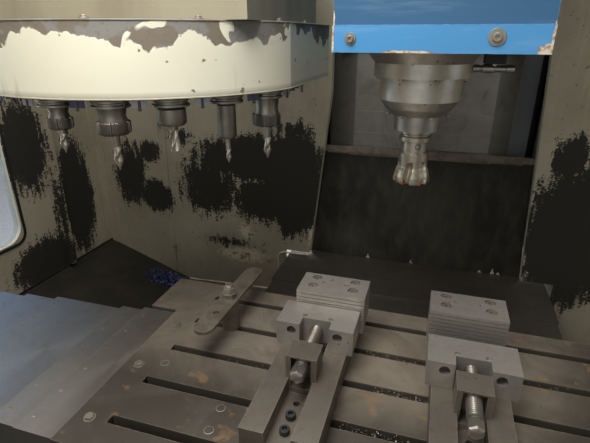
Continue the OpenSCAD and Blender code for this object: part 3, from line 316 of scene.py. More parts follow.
def blue_paint(name, bright, painted_shade_blue, split):
    """Blue enamel: a bright band below, a face above darkened by painted shade, chipped at its lower right
    corner.
    """
    f = Finish(name)
    height = f.axis("Z")
    upper = (height * 1000 - split).above(0, 1.0)
    cloud = f.noise(5, 3, 0.5)
    # above the split the darker blue is painted shade
    colour = f.mix(upper, bright, painted_shade_blue)
    colour = f.mix(cloud.above(0.62, 0.25) * 0.2, colour, f.shaded(colour, 0.75))
    rub = f.noise(14, 4, 0.6, stretch=(0.35, 1, 3)).above(0.60, 0.05)
    colour = f.mix(rub * 0.07, colour, "b9d6e6")
    # here this mask marks only the chipped corners of the paint, real wear
    wear_and_painted_shade = f.blobs([((192, -400, 1474), (30, 60, 17), 1.0), ((192, -400, 1494), (8, 60, 34), 1.0),
                    ((-20, -400, 1469), (70, 60, 7), 0.9), ((-144, -400, 1495), (5, 60, 60), 0.9)])
    ragged = f.noise(70, 4, 0.6)
    chip = (wear_and_painted_shade.clamped() * 1.5 + ragged - 0.5).above(0.42, 0.03)
    under = f.mix(f.noise(90, 3, 0.6).above(0.52, 0.06), "cfc4b2", "94745a")
    # lighter along edges, broken up by noise: edge wear and painted highlight
    edge = f.edges(1.6, 4) * ragged.above(0.5, 0.08)
    colour = f.mix(edge * 0.5, colour, "c3cdd0")
    base = f.mix(chip, colour, under)
    return f.set(base=base, rough=0.33 + cloud * 0.15 + chip * 0.3, specular=0.45,
                 coat=(1 - chip) * 0.25, coat_rough=0.2, normal=f.bump(1 - chip, 0.4, 0.6))


def casting_paint(name, colour, dark):
    """Hammered grey paint on a casting, with oily brown specks."""
    f = Finish(name)
    cloud = f.noise(3.5, 4, 0.55)
    skin = f.noise(110, 3, 0.5)
    base = f.mix((cloud * 1.6 - 0.4).clamped(), colour, dark)
    base = f.mix(f.noise(70, 2, 0.5).above(0.71, 0.02) * 0.6, base, "6e5a42")
    # lighter along edges: edge wear and painted highlight
    base = f.mix(f.edges(2.0, 3) * 0.35, base, "a7a69e")
    return f.set(base=base, rough=0.5 + cloud * 0.15, specular=0.4, normal=f.bump(skin, 0.35, 0.35))


def worked_steel(name, light, dark, along, metal, shine, soil, edge):
    """Machined or ground steel: fine tool marks along one axis, oily patches and bright edges."""
    f = Finish(name)
    thin = {"X": (1.2, 60, 60), "Y": (60, 1.2, 60), "Z": (60, 60, 1.2)}[along]
    marks = f.noise(9, 3, 0.6, stretch=thin)
    cloud = f.noise(6, 4, 0.6)
    patch = f.noise(17, 3, 0.65, lumps=0.6)
    base = f.mix((cloud * 1.7 - 0.4).clamped(), light, dark)
    base = f.shaded(base, 0.88 + marks * 0.24)
    base = f.mix(patch.above(0.56, 0.1) * soil, base, "57493a")
    base = f.mix(f.noise(120, 2, 0.5).above(0.72, 0.02) * 0.7, base, "2e2923")
    # lighter along edges, by the strength edge: edge wear and painted highlight
    base = f.mix(f.edges(1.1, 5) * edge, base, "d9d3c6")
    rough = shine + cloud * 0.16 + patch.above(0.6, 0.1) * 0.12 - marks * 0.08
    return f.set(base=base, metal=metal, rough=rough, specular=0.5,
                 normal=f.bump(marks + patch * 0.3, 0.08, 0.35))


def table_iron(name):
    """The table: fine ground iron under a brown oil film, with painted shade in the slots and over its right
    end and front, and bright lands' edges that are partly wear and partly painted highlight.
    """
    f = Finish(name)
    marks = f.noise(8, 3, 0.6, stretch=(1.5, 70, 70))
    cloud = f.noise(3.2, 4, 0.6)
    oil = f.noise(9, 4, 0.65, lumps=0.8)
    face, steep = TABLE_Z * MM - 0.0015, 400
    depth = ((face - f.axis("Z")) * steep).clamped()
    base = f.mix((cloud * 1.8 - 0.45).clamped(), "9c9183", "7d7266")
    base = f.mix(oil.above(0.55, 0.12) * 0.55, base, "62564a")
    bright = f.blobs([((55, -560, 900), (260, 200, 60), 1.0), ((-30, -430, 900), (160, 90, 60), 0.9)])
    polish = (bright.clamped() * 0.9 + (oil - 0.5) * 0.8).clamped()
    base = f.mix(polish * 0.55, base, "a69a86")
    # darker towards the right end and the front: painted shade, its border broken up by the oil noise
    wear_and_painted_shade = ((f.axis("X") * 7.0 - 1.6).clamped() + (f.axis("Y") * -6.5 - 3.1).clamped()
            + (oil - 0.5) * 0.6).clamped()
    base = f.mix(wear_and_painted_shade * 0.8, base, "241f19")
    rust = f.noise(24, 3, 0.6).above(0.66, 0.04)
    base = f.mix(rust * 0.4, base, "a07c50")
    # below the table's face, in the slots and on its sides, the iron is darkened: painted shade
    base = f.mix(depth * 0.86, base, "3a342c")
    dots = f.noise(130, 2, 0.5).above(0.73, 0.015)
    base = f.mix(dots * 0.8, base, "2a251f")
    # lighter along edges: edge wear and painted highlight
    base = f.mix(f.edges(1.3, 5) * 0.5, base, "cfc6b4")
    return f.set(base=base, metal=0.45 - depth * 0.3 - wear_and_painted_shade * 0.13, rough=0.40 + oil * 0.2 + depth * 0.25,
                 specular=0.5, normal=f.bump(marks + oil * 0.5, 0.1, 0.35))


def cover_steel(name, along, tint, stain, window_sheen=0.0):
    """Brushed cover plate with coolant stains and wiper marks, and a painted bluish sheen towards the
    machine's left, the reflection of the window.
    """
    f = Finish(name)
    thin = {"X": (0.6, 95, 60), "Y": (95, 0.6, 60)}[along]
    brush = f.noise(7, 4, 0.7, stretch=thin)
    coarse = f.noise(3, 3, 0.6, stretch=tuple(max(s * 0.12, 0.5) for s in thin))
    cloud = f.noise(4, 4, 0.6)
    film = f.noise(12, 4, 0.65, lumps=1.2)
    base = f.mix((cloud * 1.8 - 0.5).clamped(), tint, stain)
    base = f.shaded(base, 0.80 + brush * 0.30 + coarse * 0.16)
    # painted reflection: a bluish sheen of the window's light, strongest towards the left end
    if window_sheen:
        clean_and_window_sheen = ((f.axis("X") * -2.2 - 1.25) + (cloud - 0.5) * 0.9).clamped()
        base = f.mix(clean_and_window_sheen * window_sheen, base, f.mix(brush, "7389ab", "a5b8d2"))
    base = f.mix(film.above(0.60, 0.1) * 0.3, base, "5c5348")
    # lighter along edges: edge wear and painted highlight
    base = f.mix(f.edges(1.0, 5) * 0.4, base, "d5d6d6")
    return f.set(base=base, metal=0.8, rough=0.34 + cloud * 0.16 + film.above(0.6, 0.1) * 0.12 + brush * 0.08,
                 normal=f.bump(brush, 0.05, 0.3), anisotropic=0.3)


def black_rubber(name):
    """Matt black sheet with a soft waviness, dried coolant splashes, and paler patches that are painted light
    falling on it.
    """
    f = Finish(name)
    waves = f.noise(3.5, 3, 0.5, stretch=(1.6, 1, 0.6))
    dust = f.noise(26, 4, 0.65, stretch=(1, 1, 0.4))
    base = f.mix(dust.above(0.55, 0.12) * 0.5, "26251f", "4a473d")
    # pale: painted light, the lit band down the sheet between the shadows of the head
    pale = f.blobs([((-240, 345, 800), (150, 60, 110), 0.9), ((60, 345, 960), (160, 60, 260), 0.8)]).clamped()
    base = f.mix((pale * 0.8 + (waves - 0.5)).clamped() * 0.45, base, "6b665a")
    return f.set(base=base, rough=0.55 + dust * 0.2, specular=0.35,
                 normal=f.bump(waves, 9.0, 0.5, f.bump(dust, 0.2, 0.3)))


def glossy_steel(name, tint="a8a49c", soil="5b5348", shine=0.26):
    """Turned and polished steel of the spindle and the tool holders."""
    f = Finish(name)
    rings = f.noise(14, 3, 0.6, stretch=(2, 2, 90))
    cloud = f.noise(16, 4, 0.6)
    base = f.mix(cloud.above(0.56, 0.14) * 0.5, tint, soil)
    base = f.shaded(base, 0.88 + rings * 0.24)
    # lighter along edges: edge wear and painted highlight
    base = f.mix(f.edges(0.8, 4) * 0.35, base, "dedad0")
    return f.set(base=base, metal=0.92, rough=shine + cloud * 0.2, normal=f.bump(rings, 0.04, 0.3))


def gloss_plastic(name, colour, rough=0.28):
    """Moulded plastic with a fine skin and faint handling marks."""
    f = Finish(name)
    wear = f.noise(60, 3, 0.6)
    base = f.mix(wear.above(0.6, 0.1) * 0.3, colour, [c * 0.7 for c in colour[:3]] + [1.0])
    return f.set(base=base, rough=rough + wear * 0.2, normal=f.bump(f.noise(400, 2), 0.05, 0.3), coat=0.2)


def dark_enamel(name, colour, rough=0.4):
    """Semi-gloss enamel or blackened steel, dusty in patches."""
    f = Finish(name)
    cloud = f.noise(18, 4, 0.6)
    base = f.mix(cloud.above(0.55, 0.12) * 0.5, colour, [min(1.0, c * 1.9) for c in colour[:3]] + [1.0])
    # lighter along edges: edge wear and painted highlight
    base = f.mix(f.edges(1.0, 4) * 0.4, base, "7c7c7a")
    return f.set(base=base, rough=rough + cloud * 0.25, normal=f.bump(f.noise(160, 2), 0.1, 0.3))


def window_pane(name):
    """Clear polycarbonate with splash marks and fine scratches."""
    f = Finish(name)
    smear = f.noise(9, 4, 0.6, stretch=(1, 1, 0.5))
    scratch = f.noise(6, 2, 0.6, stretch=(1, 40, 3)).above(0.66, 0.03)
    f.material.surface_render_method = "DITHERED"
    return f.set(base=f.mix(smear.above(0.55, 0.15), "b9d2e8", "a3b8c8"),
                 rough=0.08 + smear * 0.2 + scratch * 0.2, ior=1.5, coat=0.3,
                 alpha=0.30 + smear.above(0.56, 0.1) * 0.25)


def screen_glass(name):
    """The dark glass of the panel's screen, with faint finger marks."""
    f = Finish(name)
    marks = f.noise(22, 4, 0.6, lumps=0.8).above(0.58, 0.1)
    return f.set(base=f.mix(marks * 0.3, "12181c", "2b343a"),
                 rough=0.06 + marks * 0.25, coat=0.4)


def chip_metal(name, first, second):
    """Curled chips, some bright and some blued by heat."""
    f = Finish(name)
    base = f.mix(f.noise(70, 2, 0.5).above(0.5, 0.08), first, second)
    return f.set(base=base, metal=0.9, rough=0.3 + f.noise(200, 2) * 0.3,
                 normal=f.bump(f.noise(260, 2), 0.1, 0.4))


class Shape:
    """Gathers faces in millimetres, in the machine's frame, and makes one piece of them."""

    def __init__(self):
        self.mesh = bmesh.new()

    def box(self, low, high, turn=None):
        """A box by its corners; turn is a matrix about its middle."""
        size = [h - l for l, h in zip(low, high)]
        middle = Vector([(l + h) / 2 for l, h in zip(low, high)])
        matrix = Matrix.Translation(middle) @ (turn or Matrix.Identity(4)) @ Matrix.Diagonal(size + [1])
        bmesh.ops.create_cube(self.mesh, size=1, matrix=matrix)

    def rod(self, start, end, radius, sides=24):
        """A cylinder between two points."""
        start, end = Vector(start), Vector(end)
        bmesh.ops.create_cone(self.mesh, cap_ends=True, segments=sides, radius1=radius, radius2=radius,
                              depth=(end - start).length, matrix=pointed((start + end) / 2, end - start))

    def loft(self, rings, caps=True):
        """Faces between closed rows of points, one row after another."""
        rows = [[self.mesh.verts.new(p) for p in ring] for ring in rings]
        count = len(rows[0])
        for lower, upper in zip(rows, rows[1:]):
            for i in range(count):
                k = (i + 1) % count
                self.mesh.faces.new((lower[i], lower[k], upper[k], upper[i]))
        if caps:
            self.mesh.faces.new(list(reversed(rows[0])))
            self.mesh.faces.new(rows[-1])

    def turned(self, profile, origin, direction=(0, 0, 1), sides=40, caps=False):
        """A turned form: rows of radius and height along a direction."""
        place = pointed(origin, direction)
        self.loft([ring_points(place, radius, height, sides) for radius, height in profile], caps)

    def tube(self, points, radius, sides=10):
        """A round bar along a path."""
        points = [Vector(p) for p in points]
        rings = []
        for i, p in enumerate(points):
            along = (points[min(i + 1, len(points) - 1)] - points[max(i - 1, 0)]).normalized()
            side = (side - side.dot(along) * along if i else along.orthogonal()).normalized()
            up = along.cross(side)
            rings.append([p + radius * (math.cos(a) * side + math.sin(a) * up) for a in circle(sides)])
        self.loft(rings)

    def thread(self, start, end, radius, pitch, depth, sides=20, steps=6):
        """A screw thread: a round bar whose surface rises and falls along a helix."""
        start, end = Vector(start), Vector(end)
        length = (end - start).length
        place = pointed(start, end - start)
        rings = []
        for i in range(int(length / pitch * steps) + 1):
            height = min(i * pitch / steps, length)
            ring = []
            for k, angle in enumerate(circle(sides)):
                phase = (height / pitch - k / sides) % 1.0
                r = radius - depth * (0.5 + 0.5 * math.cos(2 * math.pi * phase)) ** 0.6
                ring.append(place @ Vector((r * math.cos(angle), r * math.sin(angle), height)))
            rings.append(ring)
        self.loft(rings)

    def fluted(self, tip, radius, length, flutes, twist, ball):
        """A milling cutter that points down from its shank; a ball nose narrows to its tip."""
        tip = Vector(tip)
        core, steps, points = 0.5, 26, 8
        rings = []
        for i in range(steps + 1):
            height = length * i / steps
            grow = min(1.0, 0.15 + 0.85 * (height / (radius * 2.0))) if ball else 1.0
            ring = []
            for k, angle in enumerate(circle(flutes * points)):
                wave = (k % points) / points
                r = radius * (core + (1 - core) * min(1.0, wave * 1.55) if wave < 0.78 else core + 0.1)
                turn = angle + twist * height / (radius * 6)
                ring.append(tip + Vector((r * grow * math.cos(turn), r * grow * math.sin(turn), height)))
            rings.append(ring)
        self.loft(rings)

    def socket_screw(self, at, direction, head, height, washer=0.0):
        """A cap screw: a chamfered round head with a hexagon socket, and a washer if asked."""
        at, direction = Vector(at), Vector(direction).normalized()
        thick = 2.2
        if washer:
            self.turned([(washer * 0.45, 0), (washer - 0.6, 0), (washer, 0.4), (washer, 1.6),
                         (washer - 0.5, thick), (washer * 0.45, thick)], at, direction, 32)
            at = at + direction * thick
        rim, socket = head * 0.62, head * 0.52
        self.turned([(head, 0), (head, height - 1), (head - 0.9, height), (rim, height)], at, direction, 24)
        place = pointed(at, direction)
        floor = ring_points(place, socket, height * 0.35, hexagon=True)
        self.loft([ring_points(place, rim, height), ring_points(place, socket, height, hexagon=True), floor],
                  caps=False)
        self.mesh.faces.new([self.mesh.verts.new(p) for p in floor])

    def hex_head(self, at, direction, across, height, washer):
        """A hexagon head with a chamfered top on a washer."""
        at, direction = Vector(at), Vector(direction).normalized()
        thick = 2
        self.turned([(washer * 0.4, 0), (washer, 0), (washer, thick), (washer * 0.4, thick)],
                    at, direction, 28)
        place = pointed(at + direction * thick, direction)
        self.loft([ring_points(place, across / 2 * share, z, hexagon=True)
                   for share, z in ((1.0, 0), (1.0, height * 0.82), (0.88, height))])

    def chip(self, at, size, rng):
        """One curled chip: a thin strip rolled into a part of a helix."""
        spin = Matrix.Rotation(rng.uniform(0, 6.28), 4, "Z") @ Matrix.Rotation(rng.uniform(-0.7, 0.7), 4, "X")
        curl = rng.uniform(1.2, 4.5)
        radius = size * rng.uniform(0.25, 0.5)
        width = size * rng.uniform(0.25, 0.55)
        rows = []
        for i in range(5):
            a = curl * i / 4
            for w in (0, width):
                p = Vector((w + a * size * 0.1, radius * math.cos(a) - radius, radius * math.sin(a)))
                rows.append(Vector(at) + spin @ p)
        verts = [self.mesh.verts.new((p.x, p.y, max(p.z, at[2]))) for p in rows]
        for i in range(0, 8, 2):
            self.mesh.faces.new((verts[i], verts[i + 1], verts[i + 3], verts[i + 2]))

    def piece(self, name, body, finish, slot, bevel=0.0, smooth=35, replaces=()):
        """Turns what was gathered into an object that rides on a body of the frame."""
        bmesh.ops.scale(self.mesh, vec=(MM, MM, MM), verts=self.mesh.verts)
        if smooth:
            for face in self.mesh.faces:
                face.smooth = True
        data = bpy.data.meshes.new(name)
        self.mesh.to_mesh(data)
        self.mesh.free()
        if smooth:
            data.set_sharp_from_angle(angle=math.radians(smooth))
        data.materials.append(bpy.data.materials[finish])
        obj = bpy.data.objects.new(name, data)
        bpy.context.scene.collection.objects.link(obj)
        if bevel:
            edge = obj.modifiers.new("edges", "BEVEL")
            edge.width = bevel * MM
            edge.segments = 2
            edge.limit_method = "ANGLE"
            edge.angle_limit = math.radians(40)
        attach(obj, body)
        if replaces:
            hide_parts(*replaces)
        return obj


def circle(count):
    """The angles that share out a full turn."""
    return [2 * math.pi * k / count for k in range(count)]


def hex_reach(angle):
    """How far a hexagon's side lies from its centre at an angle, for a flat distance of 1."""
    return 1 / math.cos((angle % (math.pi / 3)) - math.pi / 6)


def pointed(at, direction):
    """A matrix that moves a form to a point and turns its Z along a direction."""
    return Matrix.Translation(Vector(at)) @ Vector(direction).to_track_quat("Z", "Y").to_matrix().to_4x4()


def ring_points(place, radius, height, sides=24, hexagon=False):
    """A circle, or a hexagon with that radius to its flats, around the Z of a placing matrix."""
    ring = [(a, radius * (hex_reach(a) if hexagon else 1)) for a in circle(sides)]
    return [place @ Vector((r * math.cos(a), r * math.sin(a), height)) for a, r in ring]


def upright(x0, z0, x1, z1, y):
    """The corners of an upright rectangle that faces along Y."""
    return [(x0, y, z0), (x1, y, z0), (x1, y, z1), (x0, y, z1)]


def span(node):
    """A node's lowest and highest corner in millimetres."""
    low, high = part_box(node)
    return [v / MM for v in low], [v / MM for v in high]


# Settings that a user would change


class MachineCamera(bpy.types.PropertyGroup):
    place: FloatVectorProperty(name="Place", description="Where the camera stands", subtype="TRANSLATION",
                               unit="LENGTH", default=(0.037, -1.2, 1.497))
    turn: FloatVectorProperty(name="Turn", description="How the camera is turned", subtype="EULER",
                              unit="ROTATION", default=(math.radians(67.794), 0.0, math.radians(17.027)))
    lens: FloatProperty(name="Lens", description="Focal length for a 36 mm wide sensor", default=27.88,
                        unit="CAMERA")


class MachineLamps(bpy.types.PropertyGroup):
    world: FloatProperty(name="World", description="Strength of the pale surroundings", default=0.26, min=0)
    overhead: FloatProperty(name="Overhead", description="Lamp above the open top", default=42.0,
                            min=0, unit="POWER")
    key: FloatProperty(name="Key", description="Soft lamp from the front, upper left", default=10.5,
                       min=0, unit="POWER")
    door: FloatProperty(name="Door", description="Fill through the door opening", default=4.0,
                        min=0, unit="POWER")
    window: FloatProperty(name="Window", description="Cool lamp outside the left window", default=48.0,
                          min=0, unit="POWER")
    behind: FloatProperty(name="Behind", description="Lamp behind the machine", default=80.0,
                          min=0, unit="POWER")
    right: FloatProperty(name="Right", description="Lamp on the right of the machine", default=60.0,
                         min=0, unit="POWER")


class MachineColours(bpy.types.PropertyGroup):
    wall: FloatVectorProperty(name="Wall", description="Cream enamel of the walls", subtype="COLOR",
                              size=4, min=0, max=1, default=hex_colour("b9b29c"))
    grime: FloatVectorProperty(name="Grime", description="Brown film on the inner walls", subtype="COLOR",
                               size=4, min=0, max=1, default=hex_colour("8f8570"))
    outside: FloatVectorProperty(name="Outside", description="Cream enamel of the outer panels",
                                 subtype="COLOR", size=4, min=0, max=1, default=hex_colour("d9d4c2"))
    band: FloatVectorProperty(name="Band", description="Blue of the head cover's lower band",
                              subtype="COLOR", size=4, min=0, max=1, default=hex_colour("418cc3"))
    # the upper face's darker blue is the band's blue in painted shade
    upper: FloatVectorProperty(name="Upper face", description="Blue of the head cover above its band",
                               subtype="COLOR", size=4, min=0, max=1, default=hex_colour("285a80"))
    casting: FloatVectorProperty(name="Casting", description="Grey paint of the castings", subtype="COLOR",
                                 size=4, min=0, max=1, default=hex_colour("767b7a"))
    motors: FloatVectorProperty(name="Motors", description="Black enamel of the motors", subtype="COLOR",
                                size=4, min=0, max=1, default=hex_colour("202225"))


class MachineSizes(bpy.types.PropertyGroup):
    chip: FloatProperty(name="Chip", description="Length of a large chip", default=0.009, unit="LENGTH")
    chips: IntProperty(name="Chips", description="Chips in the pile on the shed", default=900, min=1)
    wave: FloatProperty(name="Wave", description="How far the rubber sheet waves", default=0.004,
                        unit="LENGTH")
    screw_pitch: FloatProperty(name="Screw pitch", description="Pitch of the vises' screws",
                               default=0.004, unit="LENGTH")
    cap_head: FloatProperty(name="Cap head", description="Radius of the cover screws' heads",
                            default=0.0085, unit="LENGTH")


# Pieces, one operator each


class MACHINE_OT_stage(bpy.types.Operator):
    """Lays the floor and sets the world, the lamps and the camera"""
    bl_idname = "machine.stage"
    bl_label = "Floor, lamps and camera"

    def execute(self, context):
        scene = context.scene
        scene.view_settings.view_transform = "Standard"
        eye = scene.machine_camera
        camera = bpy.data.objects.new("camera", bpy.data.cameras.new("camera"))
        camera.data.lens = eye.lens
        camera.data.sensor_width = 36
        camera.data.clip_start = 0.01
        camera.location = eye.place
        camera.rotation_euler = eye.turn
        scene.collection.objects.link(camera)
        scene.camera = camera
        lamps = scene.machine_lamps
        for name, place, aim, width, height, power, colour in (
                ("overhead", (-0.4, -0.5, 3.5), (-0.1, -0.3, 1), 1.9, 1.7, lamps.overhead, (1.0, 0.99, 0.97)),
                ("key", (-0.30, -1.0, 2.1), (-0.2, -0.3, 1.1), 0.5, 0.5, lamps.key, (1.0, 0.98, 0.94)),
                ("door", (0.0, -2.3, 1.7), (0, -0.3, 1.1), 1.4, 1.2, lamps.door, (1.0, 1.0, 1.0)),
                ("window", (-3.8, -0.45, 1.7), (-0.6, -0.4, 1.1), 2.6, 2.2, lamps.window, (0.82, 0.9, 1.0)),
                ("behind", (-2.2, 5.2, 2.9), (-0.2, 0.8, 0.9), 4.0, 3.0, lamps.behind, (1.0, 1.0, 1.0)),
                ("right side", (5.0, -0.6, 2.4), (1.3, 0, 0.9), 3.0, 2.6, lamps.right, (1.0, 1.0, 1.0))):
            lamp = bpy.data.lights.new(name, "AREA")
            lamp.shape = "RECTANGLE"
            lamp.size = width
            lamp.size_y = height
            lamp.energy = power
            lamp.color = colour
            holder = bpy.data.objects.new(name, lamp)
            holder.location = place
            holder.rotation_euler = (Vector(aim) - Vector(place)).to_track_quat("-Z", "Y").to_euler()
            scene.collection.objects.link(holder)
        self.set_world(scene, lamps.world)
        floor = Shape()
        far, below = 9000, -1
        floor.mesh.faces.new([floor.mesh.verts.new((x * far, y * far, below))
                              for x, y in ((-1, -1), (1, -1), (1, 1), (-1, 1))])
        ground = self.ground()
        bmesh.ops.scale(floor.mesh, vec=(MM, MM, MM), verts=floor.mesh.verts)
        data = bpy.data.meshes.new("floor")
        floor.mesh.to_mesh(data)
        floor.mesh.free()
        data.materials.append(ground)
        plane = bpy.data.objects.new("floor", data)
        scene.collection.objects.link(plane)
        return {"FINISHED"}

    def set_world(self, scene, strength):
        """Soft light all round, and white wherever the camera sees it, straight on or through glass."""
        world = bpy.data.worlds.new("surroundings")
        world.use_nodes = True
        scene.world = world
        tree = world.node_tree
        tree.nodes.clear()
        rays = tree.nodes.new("ShaderNodeLightPath")
        seen = tree.nodes.new("ShaderNodeMath")
        seen.operation = "MAXIMUM"
        tree.links.new(rays.outputs["Is Camera Ray"], seen.inputs[0])
        tree.links.new(rays.outputs["Is Transmission Ray"], seen.inputs[1])
        soft = tree.nodes.new("ShaderNodeBackground")
        soft.inputs["Color"].default_value = (0.97, 0.98, 1.0, 1.0)
        soft.inputs["Strength"].default_value = strength
        white = tree.nodes.new("ShaderNodeBackground")
        white.inputs["Color"].default_value = (0.93, 0.94, 0.95, 1.0)
        either = tree.nodes.new("ShaderNodeMixShader")
        out = tree.nodes.new("ShaderNodeOutputWorld")
        tree.links.new(seen.outputs[0], either.inputs[0])
        tree.links.new(soft.outputs[0], either.inputs[1])
        tree.links.new(white.outputs[0], either.inputs[2])
        tree.links.new(either.outputs[0], out.inputs["Surface"])

    def ground(self):
        f = Finish("pale_floor")
        cloud = f.noise(0.8, 3, 0.5)
        return f.set(base=f.mix(cloud, "e4e3e0", "eeedea"), rough=0.7)


class MACHINE_OT_finishes(bpy.types.Operator):
    """Gives every node of the frame its finish, and makes the finishes of the small parts"""
    bl_idname = "machine.finishes"
    bl_label = "Finishes"

    def execute(self, context):
        colours = context.scene.machine_colours
        inner = wall_paint("wall_paint", tuple(colours.wall), tuple(colours.grime), tuple(colours.outside))
        shed = cover_steel("shed_steel", "Y", "4a4741", "312d28")
        long_cover = cover_steel("x_cover_steel", "Y", "8f8c88", "6c6459", window_sheen=0.85)
        deep_cover = cover_steel("y_cover_steel", "X", "7a746b", "574f45")
        back_cover = cover_steel("z_cover_steel", "X", "9a9892", "7d786f")
        case = clean_paint("outer_paint", tuple(colours.outside))
        casting = casting_paint("casting_paint", tuple(colours.casting), hex_colour("595d5c"))
        motor = dark_enamel("motor_enamel", tuple(colours.motors))
        bright = glossy_steel("bright_steel")
        jaws = worked_steel("jaw_steel", "b3aea6", "96908a", "X", 0.7, 0.38, 0.22, 0.6)
        bed = worked_steel("vise_steel", "857d72", "665e54", "Y", 0.7, 0.40, 0.4, 0.6)
        screw = worked_steel("screw_steel", "8b867e", "5e5850", "Y", 0.85, 0.36, 0.5, 0.5)
        rough_bar = worked_steel("strap_steel", "8d8478", "6b6156", "Y", 0.6, 0.5, 0.6, 0.5)
        housing = worked_steel("housing_steel", "c9c5bb", "aaa59a", "X", 0.72, 0.30, 0.18, 0.35)
        given = {
            casting: ("base", "column", "saddle", "head_casting"),
            inner: ("side_panels", "back_panel", "front_panel"),
            shed: ("chip_sheds",),
            deep_cover: ("y_cover_fixed", "y_cover_saddle"),
            back_cover: ("z_cover_lower", "z_cover_upper"),
            long_cover: ("x_cover_wings",) + tuple("left_x_cover_%d" % n for n in range(1, 6))
            + tuple("right_x_cover_%d" % n for n in range(1, 4)),
            window_pane("window_pane"): ("side_windows",),
            case: ("electric_cabinet", "cabinet_door", "left_door", "right_door", "coolant_tank"),
            motor: ("axis_motors", "spindle_motor"),
            bright: ("y_screw", "x_screw", "z_screw", "spindle", "face_mill", "magazine_tools"),
            jaws: ("left_fixed_jaw", "right_fixed_jaw", "left_moving_jaw", "right_moving_jaw"),
            bed: ("left_vise_base", "right_vise_base"),
            screw: ("left_vise_screw", "right_vise_screw", "levelling_feet"),
            rough_bar: ("clamp_post", "clamp_strap", "clamp_bar"),
            housing: ("spindle_cartridge",),
            table_iron("table_iron"): ("table",),
            black_rubber("rubber"): ("rubber_sheet",),
            blue_paint("blue_paint", tuple(colours.band), tuple(colours.upper), 1512): ("head_cover",),
            magazine_paint("magazine_paint", 1400, 1520): ("magazine_cover",),
            clean_paint("housing_paint", hex_colour("9c9580"), 0.6): ("magazine_housing",),
            dark_enamel("carousel_iron", hex_colour("37332e"), 0.5): ("carousel",),
            clean_paint("arm_paint", hex_colour("a9a898"), 0.3): ("panel_arm",),
            gloss_plastic("panel_grey", hex_colour("b8b6aa"), 0.4): ("control_panel",),
            gloss_plastic("red_cap", hex_colour("b5261e")): ("stop_button", "main_switch"),
            gloss_plastic("green_cap", hex_colour("2f8a4a")): ("start_button",),
            gloss_plastic("yellow_cap", hex_colour("d9a520")): ("hold_button",),
        }
        for finish, nodes in given.items():
            for node in nodes:
                mesh = NODES[node].data
                mesh.materials.clear()
                mesh.materials.append(finish)
                for face in mesh.polygons:
                    face.material_index = 0
        dark_enamel("black_part", hex_colour("1b1c1e"), 0.45)
        chip_metal("bright_chips", "9c978c", "6a665e")
        chip_metal("blue_chips", "7480a8", "3a3d78")
        worked_steel("screw_heads", "a9a196", "7a7268", "Z", 0.7, 0.4, 0.5, 0.5)
        worked_steel("cutter_steel", "c9c2b2", "9b9384", "Z", 0.85, 0.26, 0.35, 0.5)
        glossy_steel("holder_steel", "8e8a80", "4e4439", 0.32)
        worked_steel("nut_steel", "6f6a62", "4a453e", "Z", 0.75, 0.36, 0.4, 0.7)
        worked_steel("gold_carbide", "c79a6a", "8a5a34", "Z", 0.7, 0.3, 0.3, 0.3)
        clean_paint("pale_tag", hex_colour("b9b8c4"), 0.5)
        clean_paint("blue_tag", hex_colour("4a4f86"), 0.5)
        clean_paint("sealant", hex_colour("cfc8b2"), 0.8)
        worked_steel("wiper", "7d766b", "554d42", "Y", 0.5, 0.5, 0.4, 0.6)
        gloss_plastic("key_grey", hex_colour("d2d0c6"), 0.45)
        screen_glass("screen_glass")
        bare = set(NODES) - {n for nodes in given.values() for n in nodes}
        if bare:
            raise RuntimeError("no finish for " + ", ".join(sorted(bare)))
        return {"FINISHED"}


class MACHINE_OT_rubber_sheet(bpy.types.Operator):
    """Hangs the wavy rubber sheet behind the clamp bar, and screws the bar on"""
    bl_idname = "machine.rubber_sheet"
    bl_label = "Rubber sheet"

    def execute(self, context):
        wave = context.scene.machine_sizes.wave / MM
        low, high = span("rubber_sheet")
        top, hang_y, thick = 1144.0, 345.3, 1.8
        columns, rows = 60, 40
        upper = (-334.0, 337.0)
        shape = Shape()

        def across(share, z):
            """Where the sheet lies at a share of its width: its sides lean in towards the bar."""
            up = (z - low[2]) / (top - low[2])
            left, right = (foot + (head - foot) * up for foot, head in zip((low[0], high[0]), upper))
            return left + (right - left) * share

        def front(x, z, ahead):
            """A point of the sheet: it bends forward below the bar, and less towards its sides."""
            down = min(1.0, (top - z) / 160)
            side = min(1.0, (x - low[0]) / 60, (high[0] - x) / 60)
            bend = 0.5 + 0.5 * math.sin(x * 0.021 + z * 0.006) * math.cos(z * 0.011 - x * 0.004)
            return hang_y + ahead - wave * bend * down * side

        for ahead in (0.0, thick):
            grid = []
            for j in range(rows + 1):
                z = low[2] + (top - low[2]) * j / rows
                row = [across(i / columns, z) for i in range(columns + 1)]
                grid.append([shape.mesh.verts.new((x, front(x, z, ahead), z)) for x in row])
            for j in range(rows):
                for i in range(columns):
                    ring = (grid[j][i], grid[j][i + 1], grid[j + 1][i + 1], grid[j + 1][i])
                    shape.mesh.faces.new(ring if ahead == 0 else tuple(reversed(ring)))
            if ahead == 0:
                face_side = grid
        edge = [[g[j][i] for g in (face_side, grid)] for j, i in
                [(0, i) for i in range(columns + 1)] + [(j, columns) for j in range(1, rows + 1)]
                + [(rows, i) for i in range(columns - 1, -1, -1)] + [(j, 0) for j in range(rows - 1, 0, -1)]]
        for a, b in zip(edge, edge[1:] + edge[:1]):
            shape.mesh.faces.new((a[0], a[1], b[1], b[0]))
        sheet = shape.piece("hung_rubber", "frame", "rubber", slot="black_rubber",
                            replaces=("rubber_sheet",))
        width, length = (high[0] - low[0]) * MM, (top - low[2]) * MM
        (width + (upper[1] - upper[0]) * MM) / 2 * length
        heads = Shape()
        for x in (-253, -152, -20, 147, 255):
            heads.socket_screw((x, 338, 1130), (0, -1, 0), 6, 4.5, 9)
        heads.piece("clamp_bar_screws", "frame", "screw_heads", slot="ground_steel")
        return {"FINISHED"}


